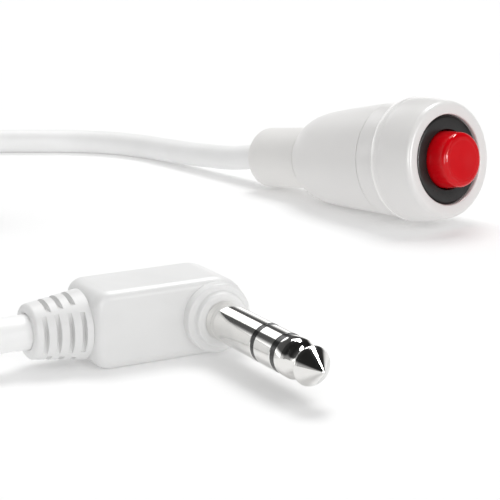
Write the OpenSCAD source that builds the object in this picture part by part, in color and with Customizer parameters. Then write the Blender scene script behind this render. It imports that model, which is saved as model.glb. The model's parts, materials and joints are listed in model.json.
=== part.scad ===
// Patient call button: a hand pendant with a red push button on a cord, and a right angle jack plug.
// Millimetres, +Z up. The pendant lies on the floor on its collar and on its rear sleeve, its button
// towards +X, so its axis climbs a little. The origin is under the middle of the pendant.

/* [Pendant outside] */
// Length of the rear sleeve that shows
sleeve_len = 15.6; // [13:0.2:19]
// Diameter of the rear sleeve
sleeve_d = 13.4; // [12.6:0.1:14.6]
// Rounding of the sleeve's rear edge
sleeve_round = 2; // [1:0.1:2.6]
// How much slimmer the housing's neck is than the sleeve, on the radius
neck_step = 0.1; // [0:0.05:0.3]
// Length of the bell, from the neck to the seam
bell_len = 25.6; // [23:0.2:32]
// Diameter of the bell at the seam
bell_d = 23.8; // [23.2:0.1:24.2]
// Length over which the bell's first, quick flare grows
flare_len = 2.8; // [2:0.1:5]
// Softness of the hollow where the flare starts
flare_ease = 0.4; // [0.2:0.05:1]
// Share of the bell's growth that is even along its whole length
flare_even_share = 0.44; // [0.2:0.02:0.7]
// Length of the plain band in front of the seam
band_len = 5.1; // [4.4:0.1:7]
// Diameter of the plain band
band_d = 24; // [23.8:0.1:24.8]
// Diameter of the collar at its rear edge
collar_d = 26; // [25.4:0.1:28]
// Length of the collar
collar_len = 10.15; // [9.6:0.05:13]
// Diameter of the collar at the edge of its face
collar_front_d = 24.2; // [23.4:0.1:24.8]
// Rounding of the edge of the collar's face
face_round = 1.1; // [0.4:0.1:1.3]
// Rounding of the collar's rear edge
ridge_round = 0.55; // [0.2:0.05:0.6]
// Wall of both housings
housing_wall = 1.2; // [1.1:0.05:1.4]

/* [Switch] */
// Diameter of the black bezel
bezel_d = 18.3; // [17.6:0.1:19]
// Thickness of the bezel
bezel_t = 1.2; // [1:0.1:1.8]
// Depth of the bezel's front below the face of the collar
bezel_sink = 0.45; // [0.2:0.05:0.8]
// Rounding of the bezel's outer edge
bezel_round = 0.7; // [0.3:0.1:0.9]
// Rounding of the collar's mouth around the bezel
mouth_round = 0.35; // [0.2:0.05:0.6]
// Diameter of the bushing's threaded barrel
barrel_d = 16; // [15.6:0.1:16.4]
// Length of the barrel behind the bezel
barrel_len = 15.8; // [15.2:0.1:17]
// Thickness of the gasket under the bezel
gasket_t = 0.4; // [0.3:0.05:0.8]
// Thickness of the collar's front wall
front_wall = 1.8; // [1.4:0.1:2.4]
// Thickness of the lock washer
washer_t = 0.6; // [0.4:0.05:1]
// Thickness of the hexagon nut
nut_t = 2.5; // [2:0.1:3]

/* [Button] */
// Diameter of the red cap
cap_d = 11.8; // [11:0.1:12.2]
// Height that the cap stands out of the bezel
cap_proud = 4.3; // [3.4:0.1:5.5]
// Length of the whole cap
cap_len = 7.9; // [7:0.1:8.4]
// Rounding of the cap's front edge
cap_round = 1; // [0.5:0.1:1.4]
// Taper of the cap on its radius
cap_taper = 0.3; // [0:0.05:0.4]
// Depth of the dish in the cap's face
dish_depth = 0.35; // [0.1:0.05:0.6]
// Travel of the button
travel = 2; // [1.2:0.1:2.4]
// Diameter of the plunger's stem
stem_d = 4; // [3.4:0.1:4.4]
// Diameter of the return spring at the middle of its wire
spring_d = 7.8; // [7.6:0.05:8]
// Diameter of the spring's wire
spring_wire = 0.6; // [0.4:0.05:0.7]
// Turns of the spring
spring_turns = 5; // [4:1:6]
// Diameter of the contact disc
disc_d = 9.2; // [8.6:0.1:10]
// Distance of each terminal from the axis
terminal_out = 3.4; // [3:0.1:3.6]
// Length of the terminals' blades
blade_len = 6; // [4:0.2:7]

/* [Cord] */
// Diameter of the cord
cord_d = 5.6; // [5:0.1:6]
// Turns of the put away coil
coil_turns = 9.1; // [7:0.1:10]
// Inner radius of the coil at the middle of the cord
coil_inner = 24.5; // [22:0.5:30]
// Space from one turn to the next
coil_pitch = 6.2; // [6.2:0.05:6.6]
// Width of the coil's tie
tie_w = 12; // [8:0.5:16]
// Thickness of the coil's tie
tie_t = 0.6; // [0.4:0.05:0.8]

/* [Plug] */
// Diameter of the jack pin
pin_d = 6.35; // [6.35:0.01:6.4]
// Length of the sleeve contact that shows
pin_sleeve_len = 14.2; // [13:0.1:16]
// Length of the rear black band
rear_band_len = 1; // [0.8:0.1:1.6]
// Length of the ring contact
pin_ring_len = 4.9; // [4:0.1:6]
// Length of the front black band
front_band_len = 1.2; // [0.8:0.1:1.6]
// Length of the tip contact
pin_tip_len = 9.2; // [8.6:0.1:10]
// Thickness of the plug's body
plug_t = 12.6; // [12:0.1:14]
// Width of the plug's body along the pin
plug_w = 12.8; // [12.4:0.1:14]
// Length of the plug's body from the pin to the strain relief
plug_len = 20.6; // [19.4:0.2:26]
// Height of the first step around the pin
boss_step = 1.6; // [1:0.1:2.2]
// Height of the second step around the pin
boss_collar = 1.2; // [0.8:0.1:2]
// Length of the plug's strain relief
relief_len = 9; // [8:0.2:14]
// Diameter of the relief where it leaves the body
relief_root_d = 11.2; // [10.4:0.1:11.8]
// Diameter of the relief at its end
relief_end_d = 8.8; // [8.4:0.1:9.8]
// Width of the relief's slots along the cord
slot_w = 0.8; // [0.5:0.05:1]

/* [Hidden] */
$fn = 72;
hull_fn = 32;
overrun = 0.5;
white = "#eeeeec";
cord_white = "#e9e9e6";
red = "#d81c22";
black = "#232425";
nickel = "#c9cbc8";
brass = "#c8a860";
copper = "#c07a4a";
clear_fit = 0.05;    // radial clearance of pieces that slide or are pressed together by hand

// Places along the pendant's axis, from the rear end of its sleeve
crease_s = sleeve_len;
seam_s = crease_s + bell_len;
ridge_s = seam_s + band_len;
face_s = ridge_s + collar_len;
bezel_s = face_s - bezel_sink;
flange_s = bezel_s - bezel_t;
recess_s = flange_s - gasket_t;
wall_s = recess_s - front_wall;
washer_s = wall_s - washer_t;
nut_s = washer_s - nut_t;
barrel_s = flange_s - barrel_len;
cap_front_s = bezel_s + cap_proud;
cap_rear_s = cap_front_s - cap_len;
stop_gap = 0.3;
pocket_s = cap_rear_s - travel - stop_gap;
web_t = 4;
web_s = pocket_s - web_t;
clip_t = 0.6;
clip_s = web_s - clear_fit - clip_t;

// Radii of the pendant
sleeve_r = sleeve_d / 2;
neck_r = sleeve_r - neck_step;
bell_r = bell_d / 2;
band_r = band_d / 2;
collar_r = collar_d / 2;
collar_front_r = collar_front_d / 2;
cavity_r = band_r - housing_wall;
spigot_r = cavity_r - clear_fit;
spigot_wall = 1.4;
spigot_in_r = spigot_r - spigot_wall;
bezel_r = bezel_d / 2;
recess_gap = 0.1;
recess_r = bezel_r + recess_gap;
barrel_r = barrel_d / 2;
cap_r = cap_d / 2;
cap_gap = 0.25;
pocket_r = cap_r + cap_gap;
stem_r = stem_d / 2;
stem_step = 0.8;
cord_r = cord_d / 2;

// The rear housing's neck, spigot and snap bead
neck_grip = 6;       // length of the neck that holds the sleeve's tail
tail_wall = 1.7;     // rubber round the cord inside the neck
tail_r = cord_r + tail_wall;
spigot_len = 4.4;
bead_h = 0.25;
bead_w = 0.8;
bead_s = seam_s + spigot_len - 2 * bead_w;
seal_depth = 0.7;
seal_w = 1;
seal_s = seam_s + seal_w;
flange_h = 0.9;      // the sleeve's retaining flange stands this far out of its tail
flange_w = 1.4;
clamp_w = 3;
clamp_wall = 0.8;
clamp_s = crease_s + neck_grip + 2 * clear_fit + flange_w + clear_fit;
cord_end_s = clamp_s + clamp_w + 2 * clear_fit;

// The bell's contour: places along the axis, and the radius there
bell_steps = 26;
bell_crowding = 1.6; // the steps lie closer together where the flare starts
function eased(x) = norm([x, flare_ease]) - flare_ease;
function flare(x) = 1 - exp(-eased(x) / flare_len);
function bell_grown(x) =
    flare_even_share * x / bell_len + (1 - flare_even_share) * flare(x) / flare(bell_len);
function bell_at(s) = neck_r + (bell_r - neck_r) * bell_grown(s - crease_s);
bell_places = [for (i = [0:bell_steps]) crease_s + bell_len * pow(i / bell_steps, bell_crowding)];

// How the pendant lies: tilted as the line under the rounded rear edges of the sleeve and of the collar,
// and lifted until the bell between them stands on the floor
rest_run = ridge_s + ridge_round - sleeve_round;
rest_rise = (collar_r - ridge_round) - (sleeve_r - sleeve_round);
tilt = atan2(rest_rise, rest_run) + asin((ridge_round - sleeve_round) / norm([rest_run, rest_rise]));
edges_z = (sleeve_r - sleeve_round) * cos(tilt) + sleeve_round - sleeve_round * sin(tilt);
bell_low = min([for (s = bell_places) edges_z + s * sin(tilt) - bell_at(s) * cos(tilt)]);
axis_z = edges_z - min(0, bell_low);
rear_x = sleeve_round * cos(tilt) - (sleeve_r - sleeve_round) * sin(tilt) - sleeve_round;
cap_edge_r = cap_r - cap_taper - cap_round;
front_x = (cap_front_s - cap_round) * cos(tilt) + cap_edge_r * sin(tilt) + cap_round;
axis_x = -(rear_x + front_x) / 2;
axis_dir = [cos(tilt), 0, sin(tilt)];
exit_point = [axis_x, 0, axis_z];

// The button's inner shape
cap_wall = 1;
cap_roof = 3;
cap_roof_s = cap_front_s - cap_roof;
hub_wall = 1;
hub_lift = 1;        // the hub stops this far above the cap's lower edge
tail_pin_r = stem_r - stem_step;

// Contacts
disc_t = 0.5;
disc_gap = 1.25;     // stem between the clip and the disc
disc_s = clip_s - disc_gap - disc_t;
stake_t = 0.5;
stake_h = 0.6;
closed_gap = 0.05;
rivet_t = 0.45;
base_s = disc_s - travel - closed_gap - rivet_t;
chamber_wall = 1.1;
chamber_r = barrel_r - chamber_wall;
dimple_gap = 0.4;
rivet_r = 1.3;
shank_r = 0.8;
blade_w = 2.6;
blade_t = 0.6;
blade_s = barrel_s - blade_len;
lead_r = 0.65;
lead_out = 1.1;      // distance of each lead from the axis where it leaves the cord

// Hexagon nut and lock washer
nut_room = 0.4;
nut_corner_r = cavity_r - nut_room;
washer_ring = 2;
washer_teeth = 8;
tooth_w = 1.2;

// The plug: the pin stands along its own +Z from the middle of the body, the cord leaves along -X
pin_r = pin_d / 2;
plug_x = 54;
plug_y = -90;
plug_turn = -12;
plug_round = 1.5;
plug_back_round = 3;
boss_step_r = 5.6;
boss_collar_r = 4.4;
pin_s = plug_w / 2 + boss_step + boss_collar;
rear_band_s = pin_s + pin_sleeve_len;
ring_s = rear_band_s + rear_band_len;
front_band_s = ring_s + pin_ring_len;
tip_s = front_band_s + front_band_len;
rod_r = 0.8;
tube_wall = 0.55;
outer_tube_wall = 0.5;
inner_tube_r = rod_r + tube_wall;
ring_tube_r = inner_tube_r + tube_wall;
outer_tube_r = ring_tube_r + outer_tube_wall;
pin_root_slim = 0.22;
root_flange_r = 4;
stack_t = 0.9;       // thickness of each collar at the rear of the pin
core_x = 7;
core_front_x = 4.6;
core_y = 4.3;
core_z = 4.6;
core_top = 5.6;
root_s = 2.2;
slot_room = 1.6;
pocket_len = 8.6;
pocket_half = 3.2;
cord_stop = core_x + pocket_len;
relief_root = 3;
relief_root_wall = 1.8;
relief_root_r = cord_r + relief_root_wall;
plug_lead_r = 0.42;
plug_lead_out = 1.3;
plug_exit = [
    plug_x + (plug_len + relief_len) * sin(plug_turn),
    plug_y - (plug_len + relief_len) * cos(plug_turn),
    plug_t / 2
];
plug_out = [sin(plug_turn), -cos(plug_turn), 0];

// The cord's route on the floor. Its height there is that of its own middle.
lie = cord_r;
coil_x = -64;
coil_y = -110;
coil_start = 240;    // angle round the coil where the cord joins it
coil_layers = 4;
ring_steps = 24;
coil_sides = 6;
cord_sides = 8;
run_points = [
    [-42, 0, lie + 2], [-50, 0, lie + 1.3], [-58, 0, lie + 0.7], [-66, 0, lie + 0.3],
    [-75, -0.5, lie + 0.05], [-84, -3.5, lie], [-92, -9, lie], [-99, -16.5, lie], [-106, -25, lie],
    [-112.5, -34.5, lie], [-118, -45, lie], [-122, -57, lie], [-124, -70, lie], [-124, -83, lie],
    [-122, -96, lie], [-117.5, -108.5, lie], [-110.5, -120, lie], [-101.5, -130, lie]
];
tail_points = [
    [-36, -147.5, lie + 17], [-24, -148, lie + 12], [-12, -149, lie + 6.5], [0, -150, lie + 2.5],
    [12, -150.5, lie + 0.5], [23, -150.5, lie], [33, -148.5, lie + 0.1], [40, -143.5, lie + 0.5],
    [44, -136.5, lie + 1.4]
];

// Vectors, arcs and tubes
function unit(v) = v / norm(v);
function arc(centre, r, from, to, steps) =
    [for (i = [0:steps]) centre + r * [cos(from + (to - from) * i / steps), sin(from + (to - from) * i / steps)]];
function heading(path, i) =
    i == 0 ? unit(path[1] - path[0])
    : i == len(path) - 1 ? unit(path[i] - path[i - 1])
    : unit(unit(path[i] - path[i - 1]) + unit(path[i + 1] - path[i]));
function tube_ring(path, i, r, sides, up) =
    let (t = heading(path, i), side = unit(cross(t, up)), top = cross(side, t))
    [for (k = [0:sides - 1]) path[i] + r * (cos(360 * k / sides) * side + sin(360 * k / sides) * top)];
function path_len(path) = len(path) < 2 ? 0 : sum([for (i = [1:len(path) - 1]) norm(path[i] - path[i - 1])]);
function sum(list, i = 0) = i >= len(list) ? 0 : list[i] + sum(list, i + 1);
function to_piece(p, a, b) =
    let (share = min(1, max(0, (p - a) * (b - a) / ((b - a) * (b - a))))) norm(p - a - share * (b - a));
function self_gap(path, r, apart) =
    min([for (i = [0:len(path) - 1]) for (k = [i + apart:1:len(path) - 2])
        to_piece(path[i], path[k], path[k + 1])]) - 2 * r;

// One closed tube along a path, of triangles
module tube(path, r, sides, up = [0, 0, 1]) {
    last = len(path) - 1;
    rings = [for (i = [0:last]) each tube_ring(path, i, r, sides, up)];
    wall = [for (i = [0:last - 1]) for (k = [0:sides - 1])
        let (a = i * sides + k, b = i * sides + (k + 1) % sides)
        each [[a, b, a + sides], [b, b + sides, a + sides]]];
    front = [for (k = [1:sides - 2]) [0, k + 1, k]];
    back = [for (k = [1:sides - 2]) [last * sides, last * sides + k, last * sides + k + 1]];
    polyhedron(points = rings, faces = concat(wall, front, back), convexity = 10);
}

// The pendant's own frame: children stand on +Z and are laid along the tilted axis
module on_axis() {
    translate(exit_point) rotate([0, 90 - tilt, 0]) children();
}

module plug_place() {
    translate([plug_x, plug_y, plug_t / 2]) rotate([90, 0, 90 + plug_turn]) children();
}

// A plain disc or tube on +Z between two places
module turned(from, to, r) {
    translate([0, 0, from]) cylinder(h = to - from, r = r);
}

module hollow(from, to, r, bore) {
    difference() {
        turned(from, to, r);
        turned(from - overrun, to + overrun, bore);
    }
}

// Pendant housings
cavity_s = crease_s + neck_grip;
cavity_places = [for (i = [0:bell_steps]) cavity_s + (seam_s - cavity_s) * i / bell_steps];

module rear_housing() {
    color(white) on_axis() difference() {
        union() {
            rotate_extrude() polygon(concat(
                [[0, crease_s]], [for (s = bell_places) [bell_at(s), s]], [[0, seam_s]]));
            turned(seam_s, seam_s + spigot_len, spigot_r);
            translate([0, 0, bead_s]) cylinder(h = bead_w / 2, r1 = spigot_r, r2 = spigot_r + bead_h);
            translate([0, 0, bead_s + bead_w / 2])
                cylinder(h = bead_w / 2, r1 = spigot_r + bead_h, r2 = spigot_r);
        }
        rotate_extrude() polygon(concat(
            [[0, cavity_s]],
            [for (s = cavity_places) [min(bell_at(s) - housing_wall, spigot_in_r), s]],
            [[spigot_in_r, seam_s + spigot_len + overrun], [0, seam_s + spigot_len + overrun]]));
        turned(crease_s - overrun, cavity_s + overrun, tail_r + clear_fit);
        difference() {
            turned(seal_s, seal_s + seal_w, spigot_r + overrun);
            turned(seal_s - overrun, seal_s + seal_w + overrun, spigot_r - seal_depth);
        }
    }
}

side_steps = 8;
side_len = collar_len - face_round - ridge_round;
collar_bulge = (collar_r - collar_front_r) / pow(side_len, 2);
function collar_at(s) = collar_r - collar_bulge * pow(s - ridge_s - ridge_round, 2);

// The band's tube runs on under the collar, to the front wall that the switch is mounted in
module front_housing() {
    side = [for (i = [1:side_steps]) ridge_s + ridge_round + side_len * i / side_steps];
    side_slope = atan(2 * collar_bulge * side_len);
    color(white) on_axis() difference() {
        union() {
            turned(seam_s, recess_s, band_r);
            rotate_extrude() polygon(concat(
                [[0, ridge_s]],
                arc([collar_r - ridge_round, ridge_s + ridge_round], ridge_round, -90, 0, 4),
                [for (s = side) [collar_at(s), s]],
                arc([collar_front_r - face_round, face_s - face_round], face_round, side_slope, 90, 6),
                [[0, face_s]]));
        }
        turned(seam_s - overrun, wall_s, cavity_r);
        translate([0, 0, bead_s - clear_fit])
            cylinder(h = bead_w / 2 + clear_fit, r1 = cavity_r, r2 = cavity_r + bead_h);
        translate([0, 0, bead_s + bead_w / 2])
            cylinder(h = bead_w / 2 + clear_fit, r1 = cavity_r + bead_h, r2 = cavity_r);
        turned(wall_s - overrun, face_s, barrel_r + 2 * clear_fit);
        turned(recess_s, face_s, recess_r);
        rotate_extrude() polygon(concat(
            [[0, face_s - mouth_round]],
            arc([recess_r + mouth_round, face_s - mouth_round], mouth_round, 180, 90, 4),
            [[recess_r + mouth_round, face_s + overrun], [0, face_s + overrun]]));
    }
}

module housing_seal() {
    seal_r = (cavity_r - spigot_r + seal_depth) / 2;
    color(black) on_axis() rotate_extrude()
        translate([spigot_r - seal_depth + seal_r, seal_s + seal_w / 2]) circle(r = seal_r);
}

// Cord entry
module cord_sleeve() {
    color(white) on_axis() difference() {
        union() {
            rotate_extrude() polygon(concat(
                [[0, 0]],
                arc([sleeve_r - sleeve_round, sleeve_round], sleeve_round, -90, 0, 8),
                [[sleeve_r, crease_s], [0, crease_s]]));
            turned(crease_s - overrun, cavity_s + 2 * clear_fit + flange_w, tail_r);
            turned(cavity_s + 2 * clear_fit, cavity_s + 2 * clear_fit + flange_w, tail_r + flange_h);
        }
        turned(-overrun, cavity_s + flange_w + overrun, cord_r + clear_fit);
    }
}

module cord_in_sleeve() {
    color(cord_white) on_axis() turned(0, cord_end_s, cord_r);
}

module cord_clamp() {
    color(nickel) on_axis() hollow(clamp_s, clamp_s + clamp_w, cord_r + clamp_wall, cord_r + clear_fit / 2);
}

// Switch
module bezel_bushing() {
    color(black) on_axis() difference() {
        union() {
            rotate_extrude() polygon(concat(
                [[0, flange_s], [bezel_r, flange_s]],
                arc([bezel_r - bezel_round, bezel_s - bezel_round], bezel_round, 0, 90, 6),
                [[0, bezel_s]]));
            turned(barrel_s, flange_s + overrun, barrel_r);
        }
        turned(pocket_s, bezel_s + overrun, pocket_r);
        turned(web_s - overrun, pocket_s + overrun, stem_r + clear_fit);
        turned(barrel_s - overrun, web_s, chamber_r);
    }
}

module bezel_gasket() {
    color(black) on_axis() hollow(recess_s, flange_s, bezel_r - 2 * clear_fit, barrel_r + clear_fit);
}

module lock_washer() {
    color(nickel) on_axis() difference() {
        hollow(washer_s, wall_s, barrel_r + washer_ring, barrel_r + clear_fit);
        for (i = [0:washer_teeth - 1]) rotate([0, 0, 360 * i / washer_teeth])
            translate([barrel_r + washer_ring / 2, -tooth_w / 2, washer_s - overrun])
                cube([washer_ring, tooth_w, washer_t + 2 * overrun]);
    }
}

module mounting_nut() {
    color(nickel) on_axis() difference() {
        translate([0, 0, nut_s]) cylinder(h = nut_t, r = nut_corner_r, $fn = 6);
        turned(nut_s - overrun, washer_s + overrun, barrel_r + clear_fit);
    }
}

// Button and what moves with it
module button_cap() {
    face_r = cap_r - cap_taper;
    color(red) on_axis() difference() {
        rotate_extrude() polygon(concat(
            [[0, cap_rear_s], [cap_r, cap_rear_s], [cap_r, bezel_s]],
            arc([face_r - cap_round, cap_front_s - cap_round], cap_round, 0, 90, 6),
            [for (i = [1:side_steps]) [
                (face_r - cap_round) * (1 - i / side_steps),
                cap_front_s - dish_depth * (1 - pow(1 - i / side_steps, 2))]]));
        difference() {
            turned(cap_rear_s - overrun, cap_roof_s, cap_r - cap_wall);
            turned(cap_rear_s + hub_lift, cap_roof_s + overrun, stem_r + hub_wall);
        }
        turned(cap_rear_s - overrun, cap_roof_s, stem_r + clear_fit / 2);
    }
}

module plunger() {
    color("#f2efe6") on_axis() difference() {
        union() {
            turned(disc_s + disc_t, cap_roof_s, stem_r);
            turned(disc_s - stake_t, disc_s + disc_t + overrun, tail_pin_r);
            turned(disc_s - stake_t, disc_s, tail_pin_r + stake_h);
        }
        difference() {
            turned(clip_s, clip_s + clip_t, stem_r + overrun);
            turned(clip_s - overrun, clip_s + clip_t + overrun, stem_r - groove_depth);
        }
    }
}
groove_depth = 0.4;
clip_ring = 1.5;
clip_mouth = 2.2;

module plunger_clip() {
    color(nickel) on_axis() difference() {
        hollow(clip_s + clear_fit, clip_s + clip_t, stem_r + clip_ring, stem_r - groove_depth + clear_fit);
        translate([0, -clip_mouth / 2, clip_s - overrun])
            cube([stem_r + clip_ring + overrun, clip_mouth, clip_t + 2 * overrun]);
    }
}

// The spring stands on the web of the bushing and carries the roof of the cap
curl_steps = 8;
spring_sides = 6;
spring_low = pocket_s + spring_wire / 2;
spring_high = cap_roof_s - spring_wire / 2;
spring_path = [for (i = [0:spring_turns * curl_steps])
    let (a = 360 * i / curl_steps)
    [spring_d / 2 * cos(a), spring_d / 2 * sin(a),
        spring_low + (spring_high - spring_low) * i / (spring_turns * curl_steps)]];
echo("least gap between the spring's curls", self_gap(spring_path, spring_wire / 2, curl_steps / 2));

module return_spring() {
    color(nickel) on_axis() tube(spring_path, spring_wire / 2, spring_sides);
}

module contact_disc() {
    color(copper) on_axis() hollow(disc_s, disc_s + disc_t, disc_d / 2, tail_pin_r + clear_fit / 2);
}

module terminal_base() {
    color("#7a4a2c") on_axis() difference() {
        turned(barrel_s, base_s, chamber_r - clear_fit);
        turned(base_s - dimple_gap - stake_t, base_s + overrun, tail_pin_r + stake_h + dimple_gap);
        for (side = [-1, 1]) translate([0, side * terminal_out, 0])
            turned(barrel_s - overrun, base_s + overrun, shank_r + clear_fit / 2);
    }
}

// One solder terminal: contact rivet, shank and blade. side is +1 on the left and -1 on the right.
module terminal(side) {
    color(brass) on_axis() translate([0, side * terminal_out, 0]) {
        turned(base_s, base_s + rivet_t, rivet_r);
        turned(barrel_s, base_s, shank_r);
        translate([-blade_w / 2, -blade_t / 2, blade_s]) cube([blade_w, blade_t, blade_len]);
    }
}
module terminal_left() { terminal(1); }
module terminal_right() { terminal(-1); }

// One insulated lead, from the cord's end to the end of its terminal
module lead(side) {
    span = blade_s - cord_end_s;
    path = [
        [0, side * lead_out, cord_end_s],
        [0, side * lead_out, cord_end_s + span / 5],
        [0, side * (lead_out + (terminal_out - lead_out) / 4), cord_end_s + span * 2 / 5],
        [0, side * (lead_out + (terminal_out - lead_out) * 3 / 4), cord_end_s + span * 3 / 5],
        [0, side * terminal_out, cord_end_s + span * 4 / 5],
        [0, side * terminal_out, blade_s]
    ];
    color(side > 0 ? "#c83030" : "#303030") on_axis() tube(path, lead_r, cord_sides, [1, 0, 0]);
}
module lead_left() { lead(1); }
module lead_right() { lead(-1); }

// Cord: a run to the coil, the coil in four layers, and a tail to the plug
layer_turns = coil_turns / coil_layers;
coil_outer = coil_inner + coil_pitch * layer_turns;
coil_low = lie + tie_t;
climb = 0.5;         // turns that a climb to the next layer takes
function smooth(x) = let (q = min(1, max(0, x))) q * q * (3 - 2 * q);
function coil_radius(t) =
    let (layer = min(coil_layers - 1, floor(t / layer_turns)), share = t / layer_turns - layer)
    layer % 2 == 0 ? coil_outer - (coil_outer - coil_inner) * share : coil_inner + (coil_outer - coil_inner) * share;
function coil_height(t) =
    coil_low + coil_pitch * sum([for (k = [1:coil_layers - 1]) smooth((t - k * layer_turns) / climb + 1 / 2)]);
function coil_point(t) =
    let (r = coil_radius(t), a = coil_start + 360 * t) [coil_x + r * cos(a), coil_y + r * sin(a), coil_height(t)];
function coil_heading(t) = [-sin(coil_start + 360 * t), cos(coil_start + 360 * t), 0];
coil_steps = floor(coil_turns * ring_steps);
coil_turning = [for (i = [0:coil_steps]) coil_point(coil_turns * i / coil_steps)];
coil_in = coil_point(0) - cord_d * coil_heading(0);
coil_out = coil_point(coil_turns) + cord_d * coil_heading(coil_turns);
coil_path = concat([coil_in], coil_turning, [coil_out]);
run_path = concat(
    [exit_point, exit_point - cord_d * axis_dir], run_points,
    [coil_in - 1.5 * cord_d * coil_heading(0), coil_in]);
tail_path = concat(
    [coil_out, coil_out + 1.5 * cord_d * coil_heading(coil_turns)], tail_points,
    [plug_exit + cord_d * plug_out, plug_exit]);
echo("least gap between the coil's turns", self_gap(coil_path, cord_r, ring_steps / 2));
echo("length of the free cord", path_len(run_path), path_len(coil_path), path_len(tail_path));
echo("pendant lies at", tilt, exit_point, "free cord leaves the plug at", plug_exit);

module cord_run() { color(cord_white) tube(run_path, cord_r, cord_sides); }
module cord_coil() { color(cord_white) tube(coil_path, cord_r, coil_sides); }
module cord_tail() { color(cord_white) tube(tail_path, cord_r, cord_sides); }

// A rounded oblong standing with its lower left corner at a place
module oblong(corner, size, r) {
    translate(corner + [r, 0]) square([size[0] - 2 * r, size[1]]);
    translate(corner + [0, r]) square([size[0], size[1] - 2 * r]);
    for (x = [r, size[0] - r], y = [r, size[1] - r]) translate(corner + [x, y]) circle(r = r);
}

// The strap round the bundle of turns
tie_angle = 60;
tie_room = 0.3;
tie_round = 3;
module coil_tie() {
    bundle_w = coil_outer - coil_inner + cord_d;
    bundle_h = (coil_layers - 1) * coil_pitch + cord_d;
    corner = [coil_inner - cord_r - tie_room, tie_t];
    size = [bundle_w + 2 * tie_room, bundle_h + tie_room];
    color(black) translate([coil_x, coil_y, 0]) rotate([0, 0, tie_angle]) translate([0, tie_w / 2, 0])
        rotate([90, 0, 0]) linear_extrude(tie_w) difference() {
            oblong(corner - [tie_t, tie_t], size + 2 * [tie_t, tie_t], tie_round + tie_t);
            oblong(corner, size, tie_round);
        }
}

// Plug body, in the plug's own frame
module plug_block() {
    half = plug_t / 2;
    hull() {
        rotate_extrude($fn = 2 * hull_fn) polygon(concat(
            [[0, -plug_w / 2]],
            arc([half - plug_back_round, plug_back_round - plug_w / 2], plug_back_round, -90, 0, 6),
            arc([half - plug_round, plug_w / 2 - plug_round], plug_round, 0, 90, 5),
            [[0, plug_w / 2]]));
        for (y = [-1, 1], z = [-1, 1])
            translate([plug_round - plug_len, y * (half - plug_round), z * (plug_w / 2 - plug_round)])
                sphere(r = plug_round, $fn = hull_fn);
    }
}

module plug_body() {
    color(white) plug_place() difference() {
        union() {
            plug_block();
            turned(0, plug_w / 2 + boss_step, boss_step_r);
            turned(0, pin_s, boss_collar_r);
        }
        translate([-core_x, -core_y, -core_z]) cube([core_x + core_front_x, 2 * core_y, core_z + core_top]);
        turned(0, pin_s + overrun, pin_r - pin_root_slim + clear_fit);
        translate([-cord_stop, -pocket_half, -pocket_half])
            cube([pocket_len + overrun, 2 * pocket_half, 2 * pocket_half]);
        rotate([0, -90, 0]) {
            turned(cord_stop - overrun, plug_len + overrun, cord_r + clear_fit);
            turned(plug_len - relief_root, plug_len + overrun, relief_root_r + clear_fit);
        }
    }
}

// The block that the contacts are moulded into first
module plug_core() {
    flush = clear_fit;
    color("#d8d8d0") plug_place() difference() {
        translate([flush - core_x, flush - core_y, flush - core_z])
            cube([core_x + core_front_x - 2 * flush, 2 * core_y - 2 * flush, core_z + core_top - 2 * flush]);
        turned(rod_end_s - flush, core_top + overrun, rod_r + flush);
        turned(tip_collar_s - flush, root_s, tip_collar_r + flush);
        turned(front_insulator_s, root_s, front_collar_r + flush);
        turned(ring_collar_s, root_s + overrun, ring_collar_r + flush);
        turned(root_s, root_s + stack_t + flush, root_flange_r + flush);
        turned(root_s, core_top + overrun, pin_r - pin_root_slim + flush);
        for (place = [tip_collar_s, root_s])
            translate([-core_x - overrun, -slot_room / 2, place + stack_t / 2 - slot_room / 2])
                cube([core_x + overrun, slot_room, slot_room]);
    }
}

// The relief is moulded on the cord, with slots in turn on its sides and on its top and bottom
relief_rows = 4;
slot_depth = 1.3;
slot_span = 6.4;
module plug_relief() {
    row = relief_len / (2 * relief_rows + 1);
    color(white) plug_place() rotate([0, -90, 0]) difference() {
        union() {
            translate([0, 0, plug_len]) cylinder(h = relief_len, r1 = relief_root_d / 2, r2 = relief_end_d / 2);
            turned(plug_len - relief_root, plug_len + overrun, relief_root_r);
        }
        turned(plug_len - relief_root - overrun, plug_len + relief_len + overrun, cord_r + clear_fit);
        for (i = [0:2 * relief_rows - 2]) {
            place = plug_len + row * (i + 1);
            grow = (relief_root_d - (relief_root_d - relief_end_d) * (i + 1) / (2 * relief_rows + 1)) / 2;
            for (way = [0, 180]) rotate([0, 0, way + 90 * (i % 2)])
                translate([grow - slot_depth, -slot_span / 2, place])
                    cube([slot_depth + overrun, slot_span, slot_w]);
        }
    }
}

module cord_in_plug() {
    color(cord_white) plug_place() rotate([0, -90, 0]) turned(cord_stop, plug_len + relief_len, cord_r);
}

// Leads from the cord's end to the collars of the tip and of the sleeve
module plug_lead(from, to) {
    out_of_core = [-core_x - plug_lead_r, 0, from[2]];
    color("#303030") plug_place()
        tube([from, out_of_core, to + [slot_room, 0, 0], to], plug_lead_r, cord_sides, [0, 1, 0]);
}
module plug_lead_tip() { plug_lead([-tip_collar_r, 0, tip_collar_s + stack_t / 2], [-cord_stop, 0, -plug_lead_out]); }
module plug_lead_sleeve() { plug_lead([-root_flange_r, 0, root_s + stack_t / 2], [-cord_stop, 0, plug_lead_out]); }

// Jack pin: five pieces one in the other. Each has a collar at its rear and shows as one length in front.
ring_collar_r = 3;
front_collar_r = 2.6;
tip_collar_r = 2.2;
ring_collar_s = root_s - 2 * stack_t - stack_t;
front_insulator_s = ring_collar_s - stack_t;
tip_collar_s = front_insulator_s - stack_t;
rod_end_s = tip_collar_s - stack_t;

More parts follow.
